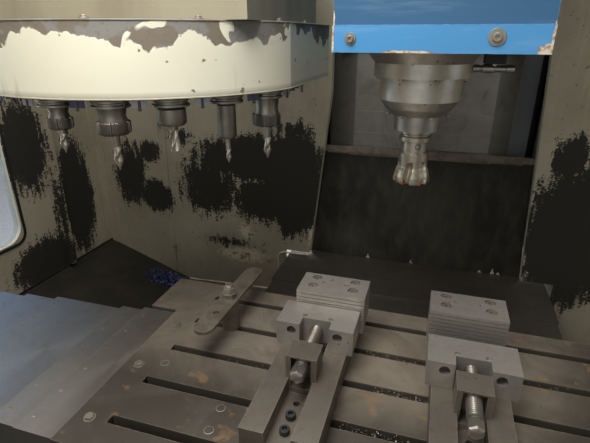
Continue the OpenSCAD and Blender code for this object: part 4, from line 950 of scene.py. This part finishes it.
class MACHINE_OT_head_fittings(bpy.types.Operator):
    """Screws on the blue cover, the coolant nozzle below it, and the spindle housing's screws"""
    bl_idname = "machine.head_fittings"
    bl_label = "Head fittings"

    def execute(self, context):
        head = context.scene.machine_sizes.cap_head / MM
        shape = Shape()
        for x, z, cap, washer in ((-113, 1491, head * 0.7, head + 1), (111, 1494, head * 0.82, head + 4.5)):
            shape.socket_screw((x, -400, z), (0, -1, 0), cap, 5, washer)
        for side, x in ((-1, -144), (1, 190)):
            for y, z in ((-330, 1491), (60, 1491), (-330, 2090), (60, 2090)):
                shape.socket_screw((x, y, z), (side, 0, 0), head, 5, head + 5)
        shape.piece("cover_screws", "head", "screw_heads", slot="ground_steel")
        shape = Shape()
        for count, first, out, z, cap in ((8, 22.5, 83.5, 1424, 4.6), (6, 0, 58, 1353.5, 5.2)):
            for i in range(count):
                a = math.radians(first + i * (360 / count))
                shape.socket_screw((out * math.cos(a), SPINDLE_Y + out * math.sin(a), z), (0, 0, -1), cap, 4)
        shape.piece("housing_screws", "head", "screw_heads", slot="ground_steel")
        shape = Shape()
        shape.box((112, -222, 1446), (150, -186, 1471))
        shape.piece("nozzle_block", "head", "black_part", bevel=1.5, slot="black_enamel")
        shape = Shape()
        shape.turned([(0.5, 0), (7, 0), (7, 12), (5.5, 13), (5.5, 16), (8, 17), (8, 38), (6.5, 39), (6.5, 60),
                      (7.5, 61), (7.5, 74), (0.5, 74)], (94, -204, 1437), (1, 0, 0), 28)
        shape.tube([(131, -204, 1437), (131, -204, 1447)], 6, 14)
        shape.tube([(96, -204, 1437), (88, -214, 1430), (82, -222, 1414)], 3.4, 12)
        shape.piece("coolant_nozzle", "head", "bright_steel", slot="ground_steel")
        shape = Shape()
        for side in (-1, 1):
            for y in (-250, -120, 20, 160):
                shape.hex_head((side * 120, y, 1500 if side < 0 else 1740), (side, 0, 0), 16, 7, 11)
        shape.piece("neck_bolts", "head", "screw_heads", slot="ground_steel")
        return {"FINISHED"}


class MACHINE_OT_face_mill(bpy.types.Operator):
    """The face mill in the spindle: its arbor, a body with chip gullets, and screwed inserts"""
    bl_idname = "machine.face_mill"
    bl_label = "Face mill"

    def execute(self, context):
        low, y, count = 1213.0, SPINDLE_Y, 6
        arbor = Shape()
        arbor.turned([(12.7, 1386.5), (22.2, 1322.2), (31.4, 1322), (31.5, 1321), (31.5, 1316), (28, 1314),
                      (28, 1311), (31.5, 1309), (31.5, 1301), (30.5, 1300), (26.5, 1300), (25.7, 1299),
                      (25.7, 1281), (24.2, 1280), (24.2, 1277), (25.7, 1276), (25.7, 1272)],
                     (0, y, 0), sides=72)
        arbor.piece("arbor", "spindle", "cutter_steel", slot="ground_steel", replaces=("face_mill",))
        hole = Shape()
        hole.turned([(5.6, -2), (5.6, 0.5), (4.4, 0.7), (4.2, -3.5), (2.4, -3.6), (2.2, -6), (0.2, -6)],
                    (8.1, y - 24.3, 1291), (0.316, -0.949, 0), 28)
        hole.piece("arbor_set_screw", "spindle", "black_part", slot="ground_steel")
        body = Shape()
        rings = []
        steps, around, tall, gullet_up = 24, 144, 62, 46
        for j in range(steps + 1):
            z = low + 1.5 + (tall - 1.5) * j / steps
            up = z - low
            plain = 29.5 if up > 34 else 29.5 + 6.2 * (1 - ((up - 14) / 20 if up > 14 else 0)) ** 0.7
            if up < 4:
                plain = 34.2 + up * 0.35
            reach = max(0.0, min(1.0, (gullet_up - up) / 14)) ** 0.5
            lag = up / gullet_up * 0.16
            ring = []
            for k in range(around):
                # the gullet takes the first part of each tooth's share of the turn
                part = ((k / around * count) % 1.0 - lag) % 1.0
                cut = math.sin(math.pi * min(1.0, part / 0.5 * 1.15)) ** 0.6 if part < 0.435 else 0.0
                r = plain - reach * 11.5 * cut
                a = 2 * math.pi * k / around
                ring.append((r * math.cos(a), y + r * math.sin(a), z))
            rings.append(ring)
        body.loft(rings)
        body.piece("cutter_body", "spindle", "cutter_steel", smooth=50, slot="ground_steel")
        inserts, screws = Shape(), Shape()
        out, up, half = 30.6, low + 6.4, 6.2
        for i in range(count):
            turn = Matrix.Translation((0, y, 0)) @ Matrix.Rotation(2 * math.pi * i / count, 4, "Z")
            ring = []
            for depth, grow in ((0.0, 1.0), (4.6, 0.9)):
                row = []
                for a in circle(24):
                    reach = min(1.0 / max(abs(math.cos(a)), abs(math.sin(a))), 1.28) * half * grow
                    point = Vector((out + reach * math.cos(a), 3.2 - depth, up + reach * math.sin(a)))
                    row.append(turn @ point)
                ring.append(row)
            inserts.loft(ring)
            screws.socket_screw(turn @ Vector((out, 3.1, up)), turn.to_3x3() @ Vector((0, 1, 0)), 2.5, 1.2)
        inserts.piece("inserts", "spindle", "gold_carbide", bevel=0.3, slot="ground_steel")
        screws.piece("insert_screws", "spindle", "black_part", slot="ground_steel")
        return {"FINISHED"}


class MACHINE_OT_magazine_tools(bpy.types.Operator):
    """Five tools in the magazine: holders with slotted nuts or plain sleeves, and fluted cutters"""
    bl_idname = "machine.magazine_tools"
    bl_label = "Tools in the magazine"

    # nut radius, nut length, holder length, cutter radius, tool length, nut slots, flutes
    ROWS = ((21, 20, 53, 7, 95, 6, 2), (28, 22, 59, 8, 122, 6, 2), (24, 28, 47, 9, 91, 0, 4),
            (17, 60, 79, 5, 125, 0, 2), (28, 24, 68, 8, 133, 8, 2))

    def execute(self, context):
        for i, (nut, nut_l, hold, cutter, reach, slots, flutes) in enumerate(self.ROWS):
            a = math.radians(FIRST_POCKET + POCKET_TURN * i)
            x, y = MAGAZINE_X + POCKET_OUT * math.cos(a), SPINDLE_Y + POCKET_OUT * math.sin(a)
            z, neck = POCKET_Z, nut - 6
            shape = Shape()
            profile = [(14, 56), (22.2, 16), (22.2, -1), (31.0, -1), (31.5, -1.6), (31.5, -4.6), (28.3, -6.4),
                       (28.3, -8.8), (31.5, -10.6), (31.5, -13.4), (31, -14), (neck + 3, -14)]
            if slots:
                profile += [(neck + 2, -17), (neck, nut_l - hold + 8), (neck + 2, nut_l - hold + 2),
                            (neck + 2, nut_l - hold - 1)]
            else:
                profile += [(neck, -15.5), (nut, nut_l - hold), (nut, 6 - hold), (nut - 1.4, 3 - hold),
                            (nut - 5, 0.4 - hold), (cutter + 1.5, 0.2 - hold), (cutter + 1.2, 2 - hold)]
            shape.turned(profile, (x, y, z), sides=56)
            shape.piece("tool_%d_holder" % (i + 1), "carousel", "holder_steel", slot="ground_steel",
                        replaces=("magazine_tools",))
            if slots:
                self.nut((x, y, z - hold), neck, nut, nut_l, cutter, slots, "tool_%d_nut" % (i + 1))
            flute_l = min(reach - hold - 8, cutter * 5.2)
            bit, tip = Shape(), (x, y, z - reach)
            ball = flutes == 2
            bit.fluted(tip, cutter, flute_l, flutes, 5.0 if ball else 3.4, ball)
            bit.turned([(cutter * 0.8, flute_l - 0.5), (cutter * 0.86, flute_l + 1),
                        (cutter * 0.86, reach - hold + 4)], tip, sides=28, caps=True)
            bit.piece("tool_%d_cutter" % (i + 1), "carousel", "cutter_steel", slot="ground_steel")
        return {"FINISHED"}

    def nut(self, foot, neck, nut, nut_l, cutter, slots, name):
        """A clamping nut with wrench slots, turned from its foot up."""
        x, y, z = foot
        points = 16
        ring = Shape()
        rows = []
        for r, up in ((neck + 1, nut_l), (nut - 1.5, nut_l), (nut, nut_l - 1.5), (nut, 5), (nut - 1, 2.5),
                      (nut - 5, 0), (cutter + 4, 0), (cutter + 3, 2.4)):
            row = []
            for k, b in enumerate(circle(slots * points)):
                notch = 3.2 if (k % points) < 4 and r >= nut - 1.6 and up > 2 else 0.0
                row.append((x + (r - notch) * math.cos(b), y + (r - notch) * math.sin(b), z + up))
            rows.append(row)
        ring.loft(rows, caps=False)
        ring.piece(name, "carousel", "nut_steel", slot="ground_steel")


class MACHINE_OT_magazine_fittings(bpy.types.Operator):
    """Pocket tags and springs on the disc, the cover's rolled lip, and screws on the housing"""
    bl_idname = "machine.magazine_fittings"
    bl_label = "Magazine fittings"

    def execute(self, context):
        centre = Vector((MAGAZINE_X, SPINDLE_Y, 0))
        clips, pale, dark = Shape(), Shape(), Shape()
        for i in range(20):
            for half in (0, 1):
                a = math.radians(FIRST_POCKET + POCKET_TURN * (i + half / 2))
                out = Vector((math.cos(a), math.sin(a), 0))
                side = Vector((-math.sin(a), math.cos(a), 0))
                turn = Matrix.Rotation(a, 4, "Z")
                if half == 0:
                    for s in (-1, 1):
                        p = centre + out * 312 + side * s * 25.5
                        clips.box((p.x - 12, p.y - 2, 1391), (p.x + 12, p.y + 2, 1399.8), turn)
                        clips.rod((p.x, p.y, 1386), (p.x, p.y, POCKET_Z), 3.2, sides=16)
                else:
                    p = centre + out * 326
                    tag = pale if i % 3 else dark
                    tag.box((p.x - 1.2, p.y - 13, 1385.5), (p.x + 1.2, p.y + 13, 1400.2), turn)
                    for near, far, low, top in ((284, 328, 1409, 1412), (325, 328, 1399.5, 1410)):
                        p, long = centre + out * ((near + far) / 2), (far - near) / 2
                        clips.box((p.x - long, p.y - 7, low), (p.x + long, p.y + 7, top), turn)
                    p = centre + out * 327.6
                    clips.socket_screw((p.x, p.y, 1383.5), (0, 0, -1), 3.2, 3)
                    clips.rod((p.x, p.y, 1383.5), (p.x, p.y, 1400.3), 2.2, sides=12)
        clips.piece("pocket_springs", "carousel", "nut_steel", slot="machined_iron")
        pale.piece("pale_tags", "carousel", "pale_tag", bevel=0.5, slot="cream_paint")
        dark.piece("blue_tags", "carousel", "blue_tag", bevel=0.5, slot="blue_paint")
        lip = Shape()
        rim, flat, side = 345, 337, 240
        for z in (1401.5, 1518.5):
            rings = []
            for c in circle(8):
                out, up = 1.6 * math.cos(c), z + 1.5 * math.sin(c)
                line = [((rim + out) * math.cos(a), (rim + out) * math.sin(a))
                        for a in (math.radians(44.1 + k * 303.5 / 140) for k in range(141))]
                line += [(flat + out, y) for y in (-60, 0, 80, 160, side + out)]
                line += [(x, side + out) for x in (310, 280, 258)]
                rings.append([(MAGAZINE_X + min(x, flat + out), SPINDLE_Y + y, up) for x, y in line])
            lip.loft(rings + [rings[0]], caps=False)
        lip.piece("cover_lips", "magazine", "magazine_paint", slot="cream_paint")
        screws = Shape()
        for i in range(12):
            a = math.radians(15 + i * 30)
            x = min(330 * math.cos(a), 324)
            screws.socket_screw((MAGAZINE_X + x, SPINDLE_Y + 330 * math.sin(a), 1520), (0, 0, 1), 5, 3.5, 8)
        screws.piece("magazine_screws", "magazine", "screw_heads", slot="ground_steel")
        return {"FINISHED"}


class MACHINE_OT_walls(bpy.types.Operator):
    """Seam strips, bolts and sealant on the inner walls, the side sheets' flanges, and torn sealant"""
    bl_idname = "machine.walls"
    bl_label = "Wall strips"

    def execute(self, context):
        shape = Shape()
        skin, proud = WALL_Y + 0.2, WALL_Y - 3
        shape.loft([[(left, skin, z), (right, skin, z), (right, proud, z), (left, proud, z)]
                    for left, right, z in ((-974, -944, 560), (-961, -934, 1240), (-958, -930, 1700))])
        for left, right, y in ((-1252.2, -1224, 297), (-1252.2, -1249.4, 272), (1224, 1252.2, 297),
                               (1249.4, 1252.2, 272)):
            shape.box((left, y, 660), (right, skin, 2240))
        shape.piece("seam_strips", "frame", "wall_paint", bevel=0.8, slot="cream_paint")
        shape = Shape()
        for side, top in ((-1, 1734), (1, 2179)):
            for inner, y in ((331, 557), (363.7, 500)):
                left, right = sorted((side * inner, side * 366))
                shape.box((left, y, 820), (right, 560, top))
        shape.piece("side_sheet_flanges", "frame", "black_part", bevel=0.8, slot="black_enamel")
        shape = Shape()
        for x, z in ((-947, 942), (-940, 686), (-951, 1190), (-944, 1440)):
            shape.hex_head((x, 297, z), (0, -1, 0), 13, 5, 9)
        for y in (-1180, -960, -160, 220):
            for side in (-1, 1):
                shape.hex_head((side * WALL_X, y, 2190), (-side, 0, 0), 13, 5, 9)
        shape.piece("wall_bolts", "frame", "screw_heads", slot="ground_steel")
        rng = random.Random(11)
        shape = Shape()
        for path in (((-489, 640), (-491, 700), (-484, 718), (-466, 725), (-420, 726), (-363, 727)),
                     ((-920, 541), (-760, 546), (-600, 552), (-402, 556)),
                     ((-1216, 655), (-1120, 618), (-1040, 590), (-976, 563))):
            points = []
            for (x0, z0), (x1, z1) in zip(path, path[1:]):
                for k in range(6):
                    t = k / 6
                    points.append((x0 + (x1 - x0) * t, 299.2 + rng.uniform(-0.5, 0.5),
                                   z0 + (z1 - z0) * t + rng.uniform(-1.2, 1.2)))
            shape.tube(points, 3.2, 8)
        shape.piece("sealant", "frame", "sealant", slot="cream_paint")
        shape = Shape()
        for x, z, h in ((-151, 727, 16), (5, 727, 15), (281, 727, 20), (300, 727, 9), (240, 727, 8)):
            shape.loft([[(x + left, back, up), (x + right, back, up), (x + right, front, up),
                         (x + left, front, up)]
                        for left, right, back, front, up in ((-7, 7, 343.6, 342.2, z),
                                                             (-3, 2, 343.2, 342.2, z + h * 0.5),
                                                             (-1, 0.5, 343, 342.4, z + h))])
        shape.piece("torn_sealant", "frame", "sealant", slot="cream_paint")
        return {"FINISHED"}


class MACHINE_OT_vises(bpy.types.Operator):
    """Threaded screws with hexagon heads, screws in the fixed jaws and beds, and the clamp's nut"""
    bl_idname = "machine.vises"
    bl_label = "Vise screws"

    def execute(self, context):
        pitch = context.scene.machine_sizes.screw_pitch / MM
        axis, half = 976, 11.26
        for side, x, fixed_x, front in (("left", -136, -124, -516.5), ("right", 140, 133, -550)):
            screw = Shape()
            start = front - 93
            screw.thread((x, start + 5, axis), (x, front + 23.7, axis), 12.5, pitch, 1.9, sides=28, steps=8)
            screw.turned([(9, 0), (12.4, 0), (12.5, 0.6), (12.5, 5)], (x, start, axis), (0, 1, 0), 36)
            screw.piece(side + "_screw_thread", side + "_vise_screw", "screw_steel", slot="ground_steel",
                        replaces=(side + "_vise_screw",))
            head = Shape()
            rings = []
            for reach, grow in ((0, 0.55), (1.6, 0.84), (4.4, 1.0), (22, 1.0), (22, 0.2)):
                rings.append([(x + half * grow * hex_reach(a) * math.sin(a), start - 22 + reach,
                               axis + half * grow * hex_reach(a) * math.cos(a)) for a in circle(48)])
            head.loft(rings)
            head.piece(side + "_screw_head", side + "_vise_screw", "bright_steel", bevel=0.4,
                       smooth=28, slot="ground_steel")
            caps = Shape()
            for dx in (-40, 40):
                for y in (-415, -382):
                    caps.socket_screw((fixed_x + dx, y, 1019.1), (0, 0, 1), 8.4, 7.4)
            for dx in (-23, 23):
                caps.turned([(3.7, 0), (3.7, 5.6), (3.1, 6.2), (0.3, 6.6)], (fixed_x + dx, -399, 1020),
                            (0, 0, 1), 20)
            caps.piece(side + "_jaw_screws", "table", "screw_heads", slot="ground_steel")
            pins = Shape()
            for k in range(2):
                pins.socket_screw((x, -691 + 32 * k, 921), (0, 0, 1), 8.5, 9)
            pins.rod((x, -725, 921), (x, -725, 927), 5.5, sides=20)
            pins.piece(side + "_bed_screws", "table", "black_part", slot="black_enamel")
        nut, x, y = Shape(), -346, -430
        nut.hex_head((x, y, 986), (0, 0, 1), 24, 13, 15)
        nut.thread((x, y, 998), (x, y, 1008), 8, 1.75, 0.9, sides=20)
        nut.piece("clamp_nut", "table", "screw_heads", slot="ground_steel")
        return {"FINISHED"}


class MACHINE_OT_table_fittings(bpy.types.Operator):
    """Plugs and screws in the table, chips in its slots and on its face, and chips on the sheds"""
    bl_idname = "machine.table_fittings"
    bl_label = "Table fittings and chips"

    def execute(self, context):
        size = context.scene.machine_sizes.chip / MM
        plugs = Shape()
        for x, y in ((-264, -655), (-262, -704), (-420, -580), (440, -655), (440, -360)):
            plugs.turned([(8.6, -0.6), (8.6, 0.25), (7.6, 0.45), (7.4, -0.2), (3.2, -0.35), (3.0, -1.2),
                          (0.2, -1.2)], (x, y, TABLE_Z), (0, 0, 1), 32)
        plugs.piece("table_plugs", "table", "screw_heads", slot="machined_iron")
        ends = Shape()
        for x in (-465, 510, 560):
            for y in (-740, -600, -460):
                ends.hex_head((x, y, TABLE_Z), (0, 0, 1), 14, 5, 10)
        for x in (-400, -200, 0, 200, 400):
            ends.socket_screw((x, -791, 800), (0, -1, 0), 6, 4, 9)
        ends.piece("table_screws", "table", "screw_heads", slot="ground_steel")
        rng = random.Random(5)
        chips = Shape()
        for x0, x1, y, count in ((-60, 60, -431, 330), (-20, 90, -531, 230), (-60, 60, -631, 120),
                                 (210, 330, -431, 40), (-330, -210, -531, 40), (240, 420, -631, 40)):
            for _ in range(count):
                chips.chip((rng.uniform(x0, x1), y + rng.uniform(-7.5, 7.5), rng.uniform(886, 898.5)),
                           rng.uniform(1.5, 4.0), rng)
        for _ in range(260):
            x, y = rng.uniform(-420, 460), rng.uniform(-785, -290)
            if min(abs(x + 136), abs(x - 140)) > 82:
                chips.chip((x, y, TABLE_Z + 0.2), rng.uniform(0.8, 2.6), rng)
        for _ in range(60):
            chips.chip((rng.uniform(-70, 70) + 136 * rng.choice((-1, 1)), rng.uniform(-436, -372), 1028.2),
                       rng.uniform(0.6, 1.6), rng)
        chips.piece("table_chips", "table", "bright_chips", smooth=0, slot="ground_steel")
        pile = Shape()
        for _ in range(context.scene.machine_sizes.chips):
            along = rng.gauss(0, 0.42)
            x = -935 + along * 110 + rng.gauss(0, 16)
            y = 225 + along * 25 + rng.gauss(0, 26)
            y = min(y, 288)
            heap = 26 * math.exp(-((x + 940) / 70) ** 2 - ((y - 230) / 40) ** 2)
            pile.chip((x, y, 673.5 - (x + WALL_X) * SHED_SLOPE + rng.uniform(0, max(1.5, heap))),
                      rng.uniform(0.5, 1.3) * size, rng)
        pile.piece("blue_chips", "frame", "blue_chips", smooth=0, slot="ground_steel")
        dust = Shape()
        for _ in range(420):
            side = rng.choice((-1, 1))
            x = side * rng.uniform(640, 1235)
            y = rng.uniform(-1250, 285)
            dust.chip((x, y, 673.2 + (abs(x) - WALL_X) * SHED_SLOPE), rng.uniform(1.5, 5.0), rng)
        dust.piece("shed_chips", "frame", "bright_chips", smooth=0, slot="ground_steel")
        return {"FINISHED"}


class MACHINE_OT_cover_wipers(bpy.types.Operator):
    """Wiper lips on the long covers' leading edges, and rivets along them"""
    bl_idname = "machine.cover_wipers"
    bl_label = "Cover wipers"

    def execute(self, context):
        for side, count in (("left", 5), ("right", 3)):
            for n in range(1, count + 1):
                node = "%s_x_cover_%d" % (side, n)
                low, high = span(node)
                edge, out = (low[0], -1) if side == "left" else (high[0], 1)
                top = high[2]
                lip = Shape()
                lip.loft([[(edge, y, top - 0.6), (edge + out * 2.5, y, top - 1.2),
                           (edge + out * 5.0, y, top - 4.7), (edge, y, top - 4.7)]
                          for y in (low[1] + 3, high[1] - 3)])
                lip.piece(node + "_wiper", node, "wiper", slot="black_rubber")
                rivets = Shape()
                for k in range(6):
                    y = low[1] + 30 + (high[1] - low[1] - 60) * k / 5
                    rivets.turned([(3.4, 0), (3.2, 0.14), (1.6, 0.18), (0.2, 0.18)],
                                  (edge - out * 14, y, top), (0, 0, 1), 16)
                rivets.piece(node + "_rivets", node, "screw_heads", slot="stainless")
        return {"FINISHED"}


class MACHINE_OT_drive_screws(bpy.types.Operator):
    """The three ball screws with their rolled threads"""
    bl_idname = "machine.drive_screws"
    bl_label = "Ball screws"

    def execute(self, context):
        for node, axis in (("x_screw", 0), ("y_screw", 1), ("z_screw", 2)):
            low, high = span(node)
            start = [(a + b) / 2 for a, b in zip(low, high)]
            end = list(start)
            start[axis], end[axis] = low[axis], high[axis]
            shape = Shape()
            shape.thread(start, end, 16, 10, 2.2, sides=28, steps=8)
            shape.piece(node + "_thread", node, "bright_steel", slot="ground_steel",
                        replaces=(node,))
        return {"FINISHED"}


class MACHINE_OT_motors(bpy.types.Operator):
    """Cooling ribs on the Z motor and the spindle motor, and the Z motor's plug"""
    bl_idname = "machine.motors"
    bl_label = "Motors"

    def execute(self, context):
        shape = Shape()
        for k in range(14):
            z = 2215 + k * 8
            shape.box((-71, 345, z), (71, 487, z + 3))
        shape.piece("z_motor_ribs", "frame", "motor_enamel", bevel=0.6, slot="black_enamel")
        shape = Shape()
        shape.box((-24, 486, 2290), (24, 506, 2334))
        shape.turned([(15, 0), (15, 12), (12, 14), (12, 22), (9, 24), (0.3, 24)], (0, 506, 2312),
                     (0, 1, 0), 28)
        shape.piece("z_motor_plug", "frame", "black_part", bevel=1, slot="black_enamel")
        shape = Shape()
        for z in range(1800, 2020, 14):
            for x in (-92, 90):
                shape.box((x, -340, z), (x + 2, -160, z + 5))
        shape.piece("spindle_motor_ribs", "head", "motor_enamel", bevel=0.6, slot="black_enamel")
        return {"FINISHED"}


class MACHINE_OT_control_panel(bpy.types.Operator):
    """The panel's screen, key rows, selector knobs, button rings and screws"""
    bl_idname = "machine.control_panel"
    bl_label = "Control panel"

    def execute(self, context):
        front, buttons_z = -1255.0, 1310
        glass = Shape()
        glass.box((1535, front + 1.5, 1573), (1809, front + 5.5, 1777))
        glass.piece("screen", "control_panel", "screen_glass", bevel=1.0, slot="window_glass")
        bezel = Shape()
        outer, inner = (1520, 1558, 1824, 1792), (1534, 1572, 1810, 1778)
        bezel.loft([upright(*outer, front), upright(*outer, front - 3), upright(*inner, front - 3),
                    upright(*inner, front + 1)], caps=False)
        bezel.piece("screen_bezel", "control_panel", "black_part", bevel=1.2, slot="black_enamel")
        keys, dark_keys = Shape(), Shape()
        for row in range(6):
            for col in range(14):
                x, z = 1490 + col * 26.5, 1528 - row * 27
                target = dark_keys if (row + col) % 5 == 0 or row == 0 else keys
                target.loft([upright(x - s, z - s, x + s, z + s, y)
                             for s, y in ((10.5, front), (10.5, front - 2.6), (9.2, front - 4.0))])
        keys.piece("keys", "control_panel", "key_grey", bevel=0.8, slot="cream_paint")
        dark_keys.piece("dark_keys", "control_panel", "black_part", bevel=0.8, slot="black_enamel")
        knobs = Shape()
        for x, r in ((1660, 17), (1740, 21)):
            rings, z = [], buttons_z
            for reach, grow in ((0, 1.12), (3, 1.12), (4, 0.96), (15, 0.86), (17, 0.72), (17, 0.05)):
                ring = []
                for k, a in enumerate(circle(64)):
                    groove = 0.05 if k % 4 == 0 and 3 < reach < 17 else 0
                    ring.append((x + r * grow * (1 - groove) * math.cos(a), front - reach,
                                 z + r * grow * (1 - groove) * math.sin(a)))
                rings.append(ring)
            knobs.loft(rings)
            knobs.box((x - 1.2, front - 18, z + r * 0.25), (x + 1.2, front - 16.8, z + r * 0.7))
        knobs.piece("selector_knobs", "control_panel", "black_part", slot="black_enamel")
        rings = Shape()
        for x, r in ((1822, 21), (1522, 14), (1582, 14)):
            rings.turned([(r - 2, 0), (r + 3, 0), (r + 3, 1.6), (r + 1.4, 3.0), (r - 1, 3.0), (r - 1.4, 0)],
                         (x, front, buttons_z), (0, -1, 0), 40)
        for x in (1474, 1870):
            for z in (1272, 1808):
                rings.socket_screw((x, front, z), (0, -1, 0), 4.5, 3)
        rings.piece("button_rings", "control_panel", "bright_steel", slot="stainless")
        return {"FINISHED"}


class MACHINE_OT_enclosure(bpy.types.Operator):
    """Door edges, grip plates with their screws, window gaskets, and screws along the panels"""
    bl_idname = "machine.enclosure"
    bl_label = "Enclosure fittings"

    def execute(self, context):
        door_y = -1364
        for side, s in (("left", -1), ("right", 1)):
            edge = Shape()
            x = s * 635
            edge.loft([[(x, -1362, z), (x - s * 0.9, -1360, z), (x - s * 0.9, -1336, z), (x, -1334, z)]
                       for z in (790, 2140)])
            edge.piece(side + "_door_edge", side + "_door", "black_part", slot="black_rubber")
            plate = Shape()
            for z in (1250, 1590):
                plate.turned([(12, 0), (16, 0), (16, 2.4), (14.5, 3.4), (9, 3.4), (9, 0)],
                             (s * 685, door_y, z + (14 if z < 1400 else -14)), (0, -1, 0), 36)
                for dz in (-30, 30):
                    plate.socket_screw((s * 735, door_y, z + dz), (0, -1, 0), 4.5, 3.4)
            plate.piece(side + "_grip_fittings", side + "_door", "bright_steel", slot="stainless")
            gasket = Shape()
            for face, proud in ((s * 1252.4, -s * 2.4), (s * 1282.0, s * 2.4)):
                rings = []
                for grow in (4, 14):
                    for lift in (0, 1):
                        ring = []
                        for cy, cz, first in ((-150, 1470, 0), (-720, 1470, 90), (-720, 888, 180),
                                              (-150, 888, 270)):
                            for k in range(9):
                                a = math.radians(first + k * 90 / 8)
                                ring.append((face + proud * lift, cy + (30 + grow) * math.cos(a),
                                             cz + (30 + grow) * math.sin(a)))
                        rings.append(ring)
                gasket.loft([rings[0], rings[1], rings[3], rings[2]], caps=False)
            gasket.piece(side + "_window_gasket", "frame", "black_part", slot="black_rubber")
        bolts = Shape()
        for z in range(420, 2200, 220):
            for s in (-1, 1):
                bolts.socket_screw((s * 1282, 240, z), (s, 0, 0), 6, 4, 9)
                bolts.socket_screw((s * 1200, 330, z), (0, 1, 0), 6, 4, 9)
        for x in range(-1200, 1201, 200):
            bolts.socket_screw((x, -1330, 420), (0, -1, 0), 6, 4, 9)
        bolts.piece("panel_screws", "frame", "screw_heads", slot="ground_steel")
        return {"FINISHED"}


class MACHINE_OT_cabinet(bpy.types.Operator):
    """Louvres, lock, fixed hinge halves and lifting eyes of the cabinet, and the tank's sight glass"""
    bl_idname = "machine.cabinet"
    bl_label = "Cabinet and tank fittings"

    def execute(self, context):
        vents, wall = Shape(), 1190
        for row in range(12):
            z = 1500 + row * 20
            for y0, y1 in ((400, 520), (560, 680)):
                vents.loft([[(wall, y, z), (wall, y, z + 12), (wall + out, y, z + up)]
                            for y, out, up in ((y0, 0.4, 12), (y0 + 6, 7, 1), (y1 - 6, 7, 1), (y1, 0.4, 12))])
        vents.piece("cabinet_louvres", "frame", "outer_paint", smooth=20, slot="cream_paint")
        eyes = Shape()
        wide, thin = 14, 4.5
        for x in (580, 1150):
            for y in (370, 710):
                rings = [[(x + (wide + thin * math.cos(b)) * math.cos(a), y + thin * math.sin(b),
                           1872 + (wide + thin * math.cos(b)) * math.sin(a)) for b in circle(10)]
                         for a in circle(28)]
                eyes.loft(rings + [rings[0]], caps=False)
                eyes.turned([(14, 0), (14, 3), (8, 6), (7, 10), (0.2, 10)], (x, y, 1850), (0, 0, 1), 24)
        eyes.piece("lifting_eyes", "frame", "screw_heads", slot="ground_steel")
        lugs = Shape()
        for z in (312, 1612):
            lugs.rod((1199, 758, z), (1199, 758, z + 50), 8)
            lugs.box((1190, 718, z), (1194, 743, z + 50))
            lugs.box((1190, 742, z), (1199, 750.2, z + 50))
        lugs.piece("fixed_hinge_halves", "frame", "outer_paint", bevel=0.6, slot="cream_paint")
        lock = Shape()
        lock.loft([upright(560, 950, 590, 1060, 776), upright(560, 950, 590, 1060, 782),
                   upright(564, 956, 586, 1054, 786)])
        lock.turned([(7, 0), (7, 3), (5, 3.6), (0.2, 3.6)], (575, 786, 970), (0, 1, 0), 24)
        lock.piece("cabinet_lock", "cabinet_door", "black_part", bevel=1.0, slot="black_enamel")
        glass = Shape()
        glass.turned([(8, 0), (26, 0), (26, 3), (23, 6), (18, 6), (17, 3), (0.3, 3)], (-440, -1350, 150),
                     (0, -1, 0), 40)
        glass.piece("tank_sight_glass", "coolant_tank", "bright_steel", slot="ground_steel")
        return {"FINISHED"}


# Panel, registration and the run


SETTINGS = (("machine_camera", MachineCamera), ("machine_lamps", MachineLamps),
            ("machine_colours", MachineColours), ("machine_sizes", MachineSizes))

STEPS = (MACHINE_OT_stage, MACHINE_OT_finishes, MACHINE_OT_rubber_sheet, MACHINE_OT_head_fittings,
         MACHINE_OT_face_mill, MACHINE_OT_magazine_tools, MACHINE_OT_magazine_fittings, MACHINE_OT_walls,
         MACHINE_OT_vises, MACHINE_OT_table_fittings, MACHINE_OT_cover_wipers, MACHINE_OT_drive_screws,
         MACHINE_OT_motors, MACHINE_OT_control_panel, MACHINE_OT_enclosure, MACHINE_OT_cabinet)


class MACHINE_PT_dressing(bpy.types.Panel):
    """The settings and the pieces in the order in which they are made"""
    bl_idname = "MACHINE_PT_dressing"
    bl_label = "Machining centre"
    bl_space_type = "VIEW_3D"
    bl_region_type = "UI"
    bl_category = "Machine"

    def draw(self, context):
        for name, group in SETTINGS:
            box = self.layout.box()
            for field in group.__annotations__:
                box.prop(getattr(context.scene, name), field)
        for step in STEPS:
            self.layout.operator(step.bl_idname)


def register():
    for name, group in SETTINGS:
        bpy.utils.register_class(group)
        setattr(bpy.types.Scene, name, PointerProperty(type=group))
    for step in STEPS:
        bpy.utils.register_class(step)
    bpy.utils.register_class(MACHINE_PT_dressing)


def unregister():
    bpy.utils.unregister_class(MACHINE_PT_dressing)
    for step in reversed(STEPS):
        bpy.utils.unregister_class(step)
    for name, group in reversed(SETTINGS):
        delattr(bpy.types.Scene, name)
        bpy.utils.unregister_class(group)


def main():
    register()
    for step in STEPS:
        family, name = step.bl_idname.split(".")
        getattr(getattr(bpy.ops, family), name)()


if __name__ == "__main__":
    main()
